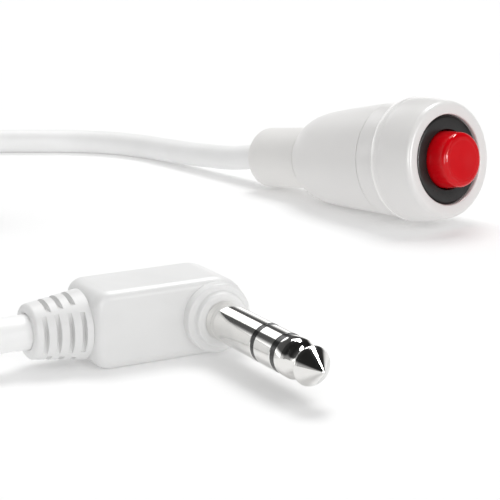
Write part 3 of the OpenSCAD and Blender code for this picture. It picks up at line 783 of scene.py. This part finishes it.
def easeStep(x):
    share = min(1, max(0, x))
    return share * share * (3 - 2 * share)


def coilPoint(turn):
    layerTurns = cord["turns"] / cord["layers"]
    layer = min(cord["layers"] - 1, int(turn / layerTurns))
    share = turn / layerTurns - layer
    spread = cord["pitch"] * layerTurns
    inwards = share if layer % 2 == 0 else 1 - share
    radius = cord["innerRadius"] + spread * (1 - inwards)
    height = lie + cord["strap"]
    for step in range(1, cord["layers"]):
        rise = (turn - step * layerTurns) / cord["climb"] + 0.5
        height += cord["pitch"] * easeStep(rise)
    angle = radians(cord["startAngle"]) + 2 * pi * turn
    x, y = cord["centre"]
    return Vector((x + radius * cos(angle), y + radius * sin(angle), height))


def coilHeading(turn):
    angle = radians(cord["startAngle"]) + 2 * pi * turn
    return Vector((-sin(angle), cos(angle), 0))


def cordRoute():
    straight = cord["diameter"]
    approach = cord["approach"] * straight
    turns = cord["turns"]
    coilIn = coilPoint(0) - straight * coilHeading(0)
    coilOut = coilPoint(turns) + straight * coilHeading(turns)
    plugOut = (reliefPlace.to_3x3() @ Vector((0, 0, 1))).normalized()
    plugExit = reliefPlace @ Vector((0, 0, (plug["length"] + relief["length"]) * mm))
    run = [exitPoint, exitPoint - straight * pendantAxis, *runPoints]
    run += [coilIn - approach * coilHeading(0), coilIn]
    tail = [coilOut, coilOut + approach * coilHeading(turns), *tailPoints]
    tail += [plugExit + straight * plugOut, plugExit]
    turning = int(turns * cord["stepsPerTurn"])
    steps = cord["stepsPerSpan"]
    coil = [coilPoint(turns * i / turning) for i in range(turning + 1)]
    return smoothRoute(run, steps) + coil + smoothRoute(tail, steps)


whiteCord = tubeCurve("cord", cordRoute(), cordRadius, 8)
print("cord laid")


# Leads inside the pendant and the plug
lead = {
    "radius": 0.65,
    "cordEnd": 26.25,
    "bladeEnd": 33.0,
    "fromAxis": 1.1,
    "atTerminal": 3.4,
    "plugRadius": 0.42,
    "plugOut": 1.3,
    "cordStop": 15.6,
    "coreBack": 7,
    "slotRoom": 1.6,
}


def makeLead(name, side):
    low, high = lead["cordEnd"], lead["bladeEnd"]
    near, far = lead["fromAxis"], lead["atTerminal"]
    shares = ((0, 0), (0.2, 0), (0.4, 0.25), (0.6, 0.75), (0.8, 1), (1, 1))
    points = [(0, side * (near + (far - near) * out), low + (high - low) * up) for up, out in shares]
    route = [pendantPlace @ (point * mm) for point in smoothRoute(points, 5)]
    return tubeCurve(name, route, lead["radius"] * mm, 3)


def makePlugLead(name, startX, height, offset):
    radius, stop = lead["plugRadius"], lead["cordStop"]
    points = [(startX, 0, height), (-lead["coreBack"] - radius, 0, height)]
    points += [(lead["slotRoom"] - stop, 0, offset), (-stop, 0, offset)]
    route = [plugPlace @ (point * mm) for point in smoothRoute(points, 8)]
    return tubeCurve(name, route, radius * mm, 3)


leadLeft = makeLead("leadLeft", 1)
leadRight = makeLead("leadRight", -1)
halfStack = pin["stack"] / 2
tipLeadHeight = pin["root"] - 5 * pin["stack"] + halfStack
plugLeadTip = makePlugLead("plugLeadTip", -pin["tipCollar"], tipLeadHeight, -lead["plugOut"])
plugLeadSleeve = makePlugLead(
    "plugLeadSleeve", -pin["rootFlange"], pin["root"] + halfStack, lead["plugOut"])
print("leads laid")


# Strap round the coil
strap = {
    "width": 12,
    "thickness": 0.6,
    "angle": 60,          # degrees round the coil
    "room": 0.3,          # between the strap and the coil's inside, outside and edge
    "topRoom": 0.1,
    "round": 3,
    "overlap": 11,        # length of the end that lies over the start
    "ramp": 1.5,          # where it climbs onto the start
    "endRound": 0.8,
    "endShares": ((1, 1), (0.75, 0.25)),   # of the half width, and of the rounding there
    "columns": 8,         # faces across it
    "underSteps": 8,
    "rampSteps": 6,
    "overSteps": 12,
}


def strapLoop():
    # the strap's own line in its plane, (distance from the coil's middle, height) in mm
    thick, room = strap["thickness"], strap["room"]
    diameter, pitch = cord["diameter"] / mm, cord["pitch"] / mm
    layerTurns = cord["turns"] / cord["layers"]
    low = cord["innerRadius"] / mm - diameter / 2 - room - thick / 2
    high = low + pitch * layerTurns + diameter + 2 * room + thick
    top = (cord["layers"] - 1) * pitch + diameter + strap["topRoom"] + thick + thick / 2
    bottom = thick / 2
    corner = strap["round"] + thick / 2
    start = high - corner - strap["ramp"]
    under, ramp, over = strap["underSteps"], strap["rampSteps"], strap["overSteps"]
    line = [(start - strap["overlap"] * i / under, top) for i in range(under)]
    line += arc(low + corner, top - corner, corner, 90, 180)
    line += arc(low + corner, bottom + corner, corner, 180, 270)
    line += arc(high - corner, bottom + corner, corner, -90, 0)
    line += arc(high - corner, top - corner, corner, 0, 90)
    for i in range(1, ramp + 1):
        climbed = top + thick * easeStep(i / ramp)
        line.append((high - corner - strap["ramp"] * i / ramp, climbed))
    line += [(start - strap["overlap"] * i / over, top + thick) for i in range(1, over + 1)]
    return line


def makeStrap():
    line = strapLoop()
    width, columns = strap["width"], strap["columns"]
    piece = startPoint("coilStrap", *line[0])
    bpy.ops.transform.translate(value=(0, -width / 2 * mm, 0))
    for i in range(columns):
        bpy.ops.mesh.extrude_region_move(
            TRANSFORM_OT_translate={"value": (0, width / columns * mm, 0)})
    selectAll()
    drawOut(line)
    # the last row's outer points are drawn back, so that the end has round corners
    for share, back in strap["endShares"]:
        bpy.ops.mesh.select_all(action="DESELECT")
        bpy.ops.object.mode_set(mode="OBJECT")
        for corner in piece.data.vertices[-columns - 1:]:
            corner.select = abs(abs(corner.co.y) / mm - share * width / 2) < slack
        bpy.ops.object.mode_set(mode="EDIT")
        bpy.ops.transform.translate(value=(back * strap["endRound"] * mm, 0, 0))
    selectAll()
    bpy.ops.mesh.normals_make_consistent(inside=False)
    settle(piece)
    # the weave follows the strap: u runs along it and v across it, both in mm
    along = [0]
    for i in range(1, len(line)):
        along.append(along[-1] + hypot(line[i][0] - line[i - 1][0], line[i][1] - line[i - 1][1]))
    weave = piece.data.uv_layers.new(name="weave")
    for loop in piece.data.loops:
        corner = piece.data.vertices[loop.vertex_index]
        weave.data[loop.index].uv = (along[loop.vertex_index // (columns + 1)], corner.co.y / mm)
    applyModifier(piece, "SOLIDIFY", thickness=strap["thickness"] * mm, offset=0)
    return piece, along[-1]


coilStrap, strapLength = makeStrap()
x, y = cord["centre"]
strapPlace = Matrix.Translation((x, y, 0)) @ Matrix.Rotation(radians(strap["angle"]), 4, "Z")
layInPlace(coilStrap, strapPlace, 40)
print("strap made")


# Materials. Their patterns are in object coordinates, in metres.

def newNode(tree, kind, inputs, **settings):
    node = tree.nodes.new("ShaderNode" + kind)
    for setting, value in settings.items():
        setattr(node, setting, value)
    for name, value in inputs.items():
        if isinstance(value, bpy.types.NodeSocket):
            tree.links.new(value, node.inputs[name])
        else:
            node.inputs[name].default_value = value
    return node


def mixColours(tree, share, first, second):
    # turns the first colour into the second by a share
    mix = newNode(tree, "Mix", {"Factor": share, 6: first, 7: (*second, 1)}, data_type="RGBA")
    return mix.outputs[2]


pattern = {
    "patchDetail": 3,
    "patchFrom": 0.35,      # between these two levels the colour turns into its other shade
    "patchTo": 0.65,
    "grainDetail": 2,
    "grainStrength": 0.6,
}


def makeFinish(name, look):
    # colour with slow patches, a varied gloss and a fine grain, all from the look's own values
    material = bpy.data.materials.new(name)
    material.use_nodes = True
    tree = material.node_tree
    shader = tree.nodes["Principled BSDF"]
    places = newNode(tree, "TexCoord", {}).outputs["Object"]
    patches = newNode(tree, "TexNoise", {
        "Vector": places, "Scale": look["patches"], "Detail": pattern["patchDetail"]})
    colours = newNode(tree, "ValToRGB", {"Fac": patches.outputs["Fac"]})
    first, last = colours.color_ramp.elements
    first.position, last.position = pattern["patchFrom"], pattern["patchTo"]
    first.color, last.color = (*look["colour"], 1), (*look["shade"], 1)
    tree.links.new(colours.outputs["Color"], shader.inputs["Base Color"])
    grain = newNode(tree, "TexNoise", {
        "Vector": places, "Scale": look["grain"], "Detail": pattern["grainDetail"]})
    low, high = look["roughness"]
    gloss = newNode(tree, "MapRange", {"Value": grain.outputs["Fac"], "To Min": low, "To Max": high})
    tree.links.new(gloss.outputs["Result"], shader.inputs["Roughness"])
    bump = newNode(tree, "Bump", {
        "Height": grain.outputs["Fac"], "Distance": look["depth"],
        "Strength": pattern["grainStrength"]})
    tree.links.new(bump.outputs["Normal"], shader.inputs["Normal"])
    for socket, value in look.get("shader", {}).items():
        shader.inputs[socket].default_value = value
    if "rings" in look:
        addRings(tree, places, bump, look["rings"])
    if "polishAndHighlight" in look:
        addPolishAndHighlight(tree, places, colours, gloss, look["polishAndHighlight"])
    if "frost" in look:
        addFrost(tree, places, gloss, look["frost"])
    if "weave" in look:
        addWeave(tree, colours, bump, look["weave"])
    return material


def addPolishAndHighlight(tree, places, colours, gloss, polishAndHighlight):
    # the collar's rear lip is smoother, and its colour is painted paler as a painted highlight line,
    # from the places' distance along the pendant
    shader = tree.nodes["Principled BSDF"]
    along = newNode(tree, "VectorMath", {0: places, 1: tuple(pendantAxis)}, operation="DOT_PRODUCT")
    crest = exitPoint.dot(pendantAxis) + polishAndHighlight["station"] * mm
    near = newNode(tree, "Math", {0: along.outputs["Value"], 1: crest}, operation="SUBTRACT")
    off = newNode(tree, "Math", {0: near.outputs[0]}, operation="ABSOLUTE")
    share = newNode(tree, "MapRange", {
        "Value": off.outputs[0], "From Max": polishAndHighlight["reach"] * mm, "To Min": 1, "To Max": 0,
    }, interpolation_type="SMOOTHSTEP").outputs["Result"]
    # painted highlight: a paler colour along the lip stands in for the bright reflection on its
    # rounding
    paintedHighlight = mixColours(tree, share, colours.outputs["Color"], polishAndHighlight["colour"])
    tree.links.new(paintedHighlight, shader.inputs["Base Color"])
    smoother = newNode(tree, "MapRange", {
        "Value": share, "To Min": gloss.outputs["Result"], "To Max": polishAndHighlight["roughness"]})
    tree.links.new(smoother.outputs["Result"], shader.inputs["Roughness"])


def addFrost(tree, places, gloss, frost):
    # the cap's dish is duller than its edge and side, from the places' distance to the pendant's axis
    shader = tree.nodes["Principled BSDF"]
    out = newNode(tree, "VectorMath", {0: places, 1: tuple(exitPoint)}, operation="SUBTRACT")
    across = newNode(
        tree, "VectorMath", {0: out.outputs[0], 1: tuple(pendantAxis)}, operation="CROSS_PRODUCT")
    distance = newNode(tree, "VectorMath", {0: across.outputs[0]}, operation="LENGTH")
    grades = {
        "Roughness": (frost["roughness"], gloss.outputs["Result"]),
        "Specular IOR Level": frost["sheen"],
    }
    for socket, (inside, outside) in grades.items():
        grade = newNode(tree, "MapRange", {
            "Value": distance.outputs["Value"], "From Min": frost["inner"] * mm,
            "From Max": frost["outer"] * mm, "To Min": inside, "To Max": outside})
        tree.links.new(grade.outputs["Result"], shader.inputs[socket])


def addRings(tree, places, bump, rings):
    # fine rings round the pin's axis, as a lathe leaves them
    shader = tree.nodes["Principled BSDF"]
    turn = -radians(lying["plugTurn"])
    turned = newNode(tree, "Mapping", {"Vector": places, "Rotation": (0, 0, turn)})
    wave = newNode(tree, "TexWave", {
        "Vector": turned.outputs[0], "Scale": rings["scale"], "Distortion": rings["wobble"],
        "Detail": rings["detail"], "Detail Scale": rings["detailScale"]})
    lathe = newNode(tree, "Bump", {
        "Height": wave.outputs["Fac"], "Distance": rings["depth"], "Strength": rings["strength"],
        "Normal": bump.outputs["Normal"]})
    tree.links.new(lathe.outputs["Normal"], shader.inputs["Normal"])


def addWeave(tree, colours, bump, weave):
    # ribs across the strap, and two rows of pale stitches on the end that lies on top
    shader = tree.nodes["Principled BSDF"]
    places = newNode(tree, "UVMap", {}, uv_map="weave").outputs["UV"]
    split = newNode(tree, "SeparateXYZ", {"Vector": places})
    u, v = split.outputs["X"], split.outputs["Y"]

    def count(operation, *values):
        return newNode(tree, "Math", dict(enumerate(values)), operation=operation).outputs[0]

    def waves(way, spacing):
        return count("SINE", count("MULTIPLY", way, 2 * pi / spacing))

    cloth = count("MULTIPLY", waves(u, weave["ribSpacing"]), waves(v, weave["yarnSpacing"]))
    fromEdge = count("SUBTRACT", strap["width"] / 2, count("ABSOLUTE", v))
    row = count("COMPARE", fromEdge, weave["stitchEdge"], weave["stitchWidth"] / 2)
    dash = count("GREATER_THAN", waves(u, weave["stitchLength"]), weave["dashLevel"])
    last = count("GREATER_THAN", u, strapLength - strap["overlap"] + weave["stitchStart"])
    end = count("LESS_THAN", u, strapLength - weave["stitchEdge"])
    stitches = count("MULTIPLY", count("MULTIPLY", row, dash), count("MULTIPLY", last, end))
    yarns = count("MULTIPLY", count("ABSOLUTE", cloth), weave["yarnShare"])
    shaded = mixColours(tree, yarns, colours.outputs["Color"], weave["yarn"])
    sewn = mixColours(tree, stitches, shaded, weave["thread"])
    tree.links.new(sewn, shader.inputs["Base Color"])
    height = count("ADD", cloth, count("MULTIPLY", stitches, weave["stitchRise"]))
    ribs = newNode(tree, "Bump", {
        "Height": height, "Distance": weave["depth"], "Normal": bump.outputs["Normal"]})
    tree.links.new(ribs.outputs["Normal"], shader.inputs["Normal"])


looks = {
    "shellWhite": {
        "colour": (0.86, 0.85, 0.838), "shade": (0.84, 0.83, 0.82), "patches": 60,
        "grain": 2600, "roughness": (0.36, 0.48), "depth": 0.00001,
        "shader": {"Specular IOR Level": 0.3},
    },
    "collarWhite": {
        "colour": (0.86, 0.85, 0.838), "shade": (0.84, 0.83, 0.82), "patches": 60,
        "grain": 2600, "roughness": (0.26, 0.34), "depth": 0.000006,
        # the lip: smoother for real, and a painted highlight in its paler colour
        "polishAndHighlight": {"station": 46.85, "reach": 1.25, "colour": (1, 0.99, 0.975), "roughness": 0.12},
    },
    "sleeveWhite": {
        "colour": (0.88, 0.868, 0.85), "shade": (0.855, 0.845, 0.828), "patches": 90,
        "grain": 1900, "roughness": (0.5, 0.64), "depth": 0.00002,
    },
    "cordWhite": {
        "colour": (0.935, 0.935, 0.932), "shade": (0.91, 0.91, 0.905), "patches": 120,
        "grain": 2200, "roughness": (0.4, 0.52), "depth": 0.00002,
    },
    "plugWhite": {
        "colour": (0.84, 0.84, 0.835), "shade": (0.81, 0.81, 0.805), "patches": 110,
        "grain": 2300, "roughness": (0.34, 0.48), "depth": 0.00002,
    },
    "bezelBlack": {
        "colour": (0.011, 0.0107, 0.0104), "shade": (0.016, 0.0155, 0.015), "patches": 300,
        "grain": 3000, "roughness": (0.24, 0.36), "depth": 0.00001,
        "shader": {"Specular IOR Level": 0.3},
    },
    "sealRubber": {
        "colour": (0.018, 0.018, 0.018), "shade": (0.03, 0.03, 0.03), "patches": 400,
        "grain": 4000, "roughness": (0.6, 0.8), "depth": 0.00002,
    },
    "bandBlack": {
        "colour": (0.012, 0.012, 0.012), "shade": (0.018, 0.018, 0.018), "patches": 500,
        "grain": 4000, "roughness": (0.14, 0.24), "depth": 0.000004,
    },
    "capRed": {
        "colour": (0.68, 0.003, 0.008), "shade": (0.63, 0.0025, 0.007), "patches": 180,
        "grain": 1500, "roughness": (0.055, 0.055), "depth": 0.000004,
        "frost": {"inner": 3.8, "outer": 4.7, "roughness": 0.45, "sheen": (0.06, 0.24)},
    },
    "naturalNylon": {
        "colour": (0.78, 0.76, 0.68), "shade": (0.72, 0.7, 0.62), "patches": 250,
        "grain": 2600, "roughness": (0.4, 0.55), "depth": 0.00001,
    },
    "boardBrown": {
        "colour": (0.24, 0.11, 0.045), "shade": (0.17, 0.075, 0.03), "patches": 900,
        "grain": 5000, "roughness": (0.45, 0.65), "depth": 0.00002,
    },
    "springSteel": {
        "colour": (0.62, 0.61, 0.59), "shade": (0.52, 0.51, 0.5), "patches": 700,
        "grain": 5000, "roughness": (0.2, 0.38), "depth": 0.000006, "shader": {"Metallic": 1},
    },
    "pinNickel": {
        "colour": (0.82, 0.81, 0.79), "shade": (0.76, 0.755, 0.74), "patches": 220,
        "grain": 6000, "roughness": (0.05, 0.12), "depth": 0.000002, "shader": {"Metallic": 1},
        "rings": {
            "scale": 900, "wobble": 1.5, "detail": 2, "detailScale": 2,
            "depth": 0.0000007, "strength": 0.5,
        },
    },
    "terminalBrass": {
        "colour": (0.78, 0.58, 0.24), "shade": (0.68, 0.47, 0.17), "patches": 600,
        "grain": 5000, "roughness": (0.2, 0.35), "depth": 0.000006, "shader": {"Metallic": 1},
    },
    "contactCopper": {
        "colour": (0.74, 0.42, 0.27), "shade": (0.62, 0.32, 0.2), "patches": 500,
        "grain": 5000, "roughness": (0.18, 0.34), "depth": 0.000006, "shader": {"Metallic": 1},
    },
    "leadRed": {
        "colour": (0.55, 0.02, 0.02), "shade": (0.48, 0.015, 0.015), "patches": 500,
        "grain": 4000, "roughness": (0.35, 0.5), "depth": 0.00001,
    },
    "leadBlack": {
        "colour": (0.02, 0.02, 0.02), "shade": (0.032, 0.032, 0.032), "patches": 500,
        "grain": 4000, "roughness": (0.35, 0.5), "depth": 0.00001,
    },
    "strapBlack": {
        "colour": (0.02, 0.02, 0.021), "shade": (0.036, 0.036, 0.038), "patches": 900,
        "grain": 2400, "roughness": (0.7, 0.9), "depth": 0.00005,
        "weave": {
            "ribSpacing": 0.8, "yarnSpacing": 1.1, "depth": 0.00012,
            "yarn": (0.055, 0.055, 0.058), "yarnShare": 0.5, "thread": (0.3, 0.3, 0.31),
            "stitchEdge": 1.3, "stitchWidth": 0.4, "stitchLength": 2.4, "stitchStart": 1,
            "stitchRise": 2, "dashLevel": -0.3,
        },
    },
}
finishes = {name: makeFinish(name, look) for name, look in looks.items()}

# Each piece: its finish, the record's slot, the body it rides on and the nodes it stands for
dressing = [
    (rearShell, "shellWhite", "white_shell", "pendant", ["rear_housing"]),
    (frontShell, "collarWhite", "white_shell", "pendant", ["front_housing"]),
    (sleeveBoot, "sleeveWhite", "white_sleeve", "pendant", ["cord_sleeve"]),
    (switchBezel, "bezelBlack", "black_bezel", "pendant", ["bezel_bushing"]),
    (redCap, "capRed", "red_cap", "button", ["button_cap"]),
    (returnSpring, "springSteel", "steel", "pendant", ["return_spring"]),
    (leadLeft, "leadRed", "lead_red", "pendant", ["lead_left"]),
    (leadRight, "leadBlack", "lead_black", "pendant", ["lead_right"]),
    (whiteCord, "cordWhite", "white_cord", "pendant", ["cord_run", "cord_coil", "cord_tail"]),
    (coilStrap, "strapBlack", "tie_fabric", "pendant", ["coil_tie"]),
    (plugShell, "plugWhite", "white_plug", "pendant", ["plug_body"]),
    (plugRelief, "plugWhite", "white_plug", "pendant", ["plug_relief"]),
    (plugLeadTip, "leadRed", "lead_red", "pendant", ["plug_lead_tip"]),
    (plugLeadSleeve, "leadBlack", "lead_black", "pendant", ["plug_lead_sleeve"]),
    (pinSleeve, "pinNickel", "plated_pin", "pendant", ["pin_sleeve"]),
    (pinRearBand, "bandBlack", "black_band", "pendant", ["pin_rear_band"]),
    (pinRing, "pinNickel", "plated_pin", "pendant", ["pin_ring"]),
    (pinFrontBand, "bandBlack", "black_band", "pendant", ["pin_front_band"]),
    (pinTip, "pinNickel", "plated_pin", "pendant", ["pin_tip"]),
]
for piece, finish, slot, body, stoodFor in dressing:
    piece.data.materials.clear()
    piece.data.materials.append(finishes[finish])
    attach(piece, body)
    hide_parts(*stoodFor)

# The inner nodes stay as they are, each with its finish
nodeFinishes = {
    "housing_seal": "sealRubber",
    "cord_in_sleeve": "cordWhite",
    "cord_clamp": "springSteel",
    "bezel_gasket": "sealRubber",
    "lock_washer": "springSteel",
    "mounting_nut": "springSteel",
    "plunger": "naturalNylon",
    "plunger_clip": "springSteel",
    "contact_disc": "contactCopper",
    "terminal_base": "boardBrown",
    "terminal_left": "terminalBrass",
    "terminal_right": "terminalBrass",
    "plug_core": "naturalNylon",
    "cord_in_plug": "cordWhite",
}
for nodeName, finish in nodeFinishes.items():
    nodes[nodeName].data.materials.clear()
    nodes[nodeName].data.materials.append(finishes[finish])
print("finishes given")


# The plug's pieces in one list, and a mesh of its own for the spring
plugPieces = [plugShell, plugRelief, plugLeadTip, plugLeadSleeve, pinSleeve, pinRearBand, pinRing]
plugPieces += [pinFrontBand, pinTip, nodes["plug_core"], nodes["cord_in_plug"]]
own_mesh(returnSpring)


# Floor, light and background
light = {
    "floorSize": 6,
    "floorLift": 0.13,       # share of plain white in the floor as the camera sees it
    "floorGlow": 0.52,       # the same for the light that the floor gives back
    "glowLeast": 0.24,       # what is left of it where something touches the floor
    "glowReach": 0.003,      # over how long a way it grows from that
    "horizon": 0.17,
    "zenith": 0.82,
    "ceiling": 0.05,         # what metal sees overhead, past the white backdrop
    "whiteEnd": 0.12,        # between these two heights the white turns into the ceiling
    "ceilingStart": 0.4,
    "left": 2,               # how bright a gloss finds the left and the right of the backdrop
    "right": 0.3,
    "leftEnd": -0.98,        # between these two places the left turns into the right
    "rightStart": 0.2,
    "keyStrength": 1.15,
    "keyFrom": (-0.31, 0.34, 1),
    "keyAngle": 30,
    "fillStrength": 0.85,
    "fillFrom": (1, -0.05, 0.25),
    "fillAngle": 70,
    "boxes": {
        "topBox": {"from": (0.1, 0.4, 0.9), "distance": 1.2, "size": (0.6, 0.3), "power": 12},
        "frontBox": {"from": (0.92, 0.33, 0.14), "distance": 1.2, "size": (0.28, 0.22), "power": 7},
        "nearBox": {"from": (0.75, -0.6, 0.2), "distance": 1.2, "size": (0.5, 0.7), "power": 9},
        "leftBox": {"from": (-0.8, 0.15, 0.58), "distance": 1.2, "size": (0.6, 0.42), "power": 1.1},
    },
}


def aim(lamp, towards):
    lamp.rotation_euler = Vector(towards).normalized().to_track_quat("Z", "Y").to_euler()


def addSun(name, towards, strength, spread):
    bpy.ops.object.light_add(type="SUN", location=towards)
    sun = bpy.context.object
    sun.name = name
    sun.data.energy = strength
    sun.data.angle = radians(spread)
    aim(sun, towards)


def addSoftBox(name, values):
    # seen only in reflections, so that it leaves the colours alone
    place = Vector(values["from"]).normalized() * values["distance"]
    bpy.ops.object.light_add(type="AREA", location=place)
    box = bpy.context.object
    box.name = name
    box.data.shape = "ELLIPSE"
    box.data.size, box.data.size_y = values["size"]
    box.data.energy = values["power"]
    box.visible_diffuse = False
    aim(box, values["from"])


def seenRays(tree):
    # 1 for what the camera sees, also in metal, and 0 for light
    rays = newNode(tree, "LightPath", {})
    metal = newNode(tree, "Math", {
        0: rays.outputs["Is Camera Ray"], 1: rays.outputs["Is Glossy Ray"]})
    clear = {0: metal.outputs[0], 1: rays.outputs["Is Transmission Ray"]}
    return newNode(tree, "Math", clear, use_clamp=True).outputs[0]


def makeFloor():
    # a white floor that keeps the shadows; part of it is plain white to the camera
    bpy.ops.mesh.primitive_plane_add(size=light["floorSize"], location=(0, 0, 0))
    floor = bpy.context.object
    floor.name = "floor"
    material = bpy.data.materials.new("floorWhite")
    material.use_nodes = True
    tree = material.node_tree
    paint = newNode(tree, "BsdfDiffuse", {"Color": (1, 1, 1, 1)})
    white = newNode(tree, "Emission", {"Color": (1, 1, 1, 1)})
    # the glow is weaker over a short way, so that the line of contact stays dark
    glow = newNode(tree, "MapRange", {
        "Value": newNode(tree, "LightPath", {}).outputs["Ray Length"],
        "From Max": light["glowReach"], "To Min": light["glowLeast"], "To Max": light["floorGlow"]})
    lift = newNode(tree, "MapRange", {
        "Value": seenRays(tree), "To Min": glow.outputs["Result"], "To Max": light["floorLift"]})
    mixed = newNode(tree, "MixShader", {
        "Fac": lift.outputs["Result"], 1: paint.outputs[0], 2: white.outputs[0]})
    tree.links.new(mixed.outputs[0], tree.nodes["Material Output"].inputs["Surface"])
    tree.nodes.remove(tree.nodes["Principled BSDF"])
    floor.data.materials.append(material)


def makeSky():
    # light that grows overhead; the camera and metal see a white backdrop under a dark ceiling
    world = bpy.data.worlds.new("sky")
    bpy.context.scene.world = world
    world.use_nodes = True
    tree = world.node_tree
    places = newNode(tree, "TexCoord", {}).outputs["Generated"]
    parts = newNode(tree, "SeparateXYZ", {"Vector": places})
    height = parts.outputs["Z"]
    dome = newNode(tree, "MapRange", {
        "Value": height, "To Min": light["horizon"], "To Max": light["zenith"]})
    backdrop = newNode(tree, "MapRange", {
        "Value": height, "From Min": light["whiteEnd"], "From Max": light["ceilingStart"],
        "To Min": 1, "To Max": light["ceiling"],
    }, interpolation_type="SMOOTHSTEP")
    sides = newNode(tree, "MapRange", {
        "Value": parts.outputs["X"], "From Min": light["leftEnd"], "From Max": light["rightStart"],
        "To Min": light["left"], "To Max": light["right"],
    }, interpolation_type="SMOOTHSTEP")
    glossy = newNode(tree, "LightPath", {}).outputs["Is Glossy Ray"]
    sideLevel = newNode(tree, "MapRange", {
        "Value": glossy, "To Min": 1, "To Max": sides.outputs["Result"]})
    shown = newNode(tree, "Math", {
        0: backdrop.outputs["Result"], 1: sideLevel.outputs["Result"]}, operation="MULTIPLY")
    level = newNode(tree, "MapRange", {
        "Value": seenRays(tree), "To Min": dome.outputs["Result"], "To Max": shown.outputs[0]})
    tree.links.new(level.outputs["Result"], tree.nodes["Background"].inputs["Strength"])
    tree.nodes["Background"].inputs["Color"].default_value = (1, 1, 1, 1)


makeFloor()
makeSky()
addSun("key", light["keyFrom"], light["keyStrength"], light["keyAngle"])
addSun("fill", light["fillFrom"], light["fillStrength"], light["fillAngle"])
for name, values in light["boxes"].items():
    addSoftBox(name, values)
bpy.context.scene.view_settings.view_transform = "Standard"
print("light set")
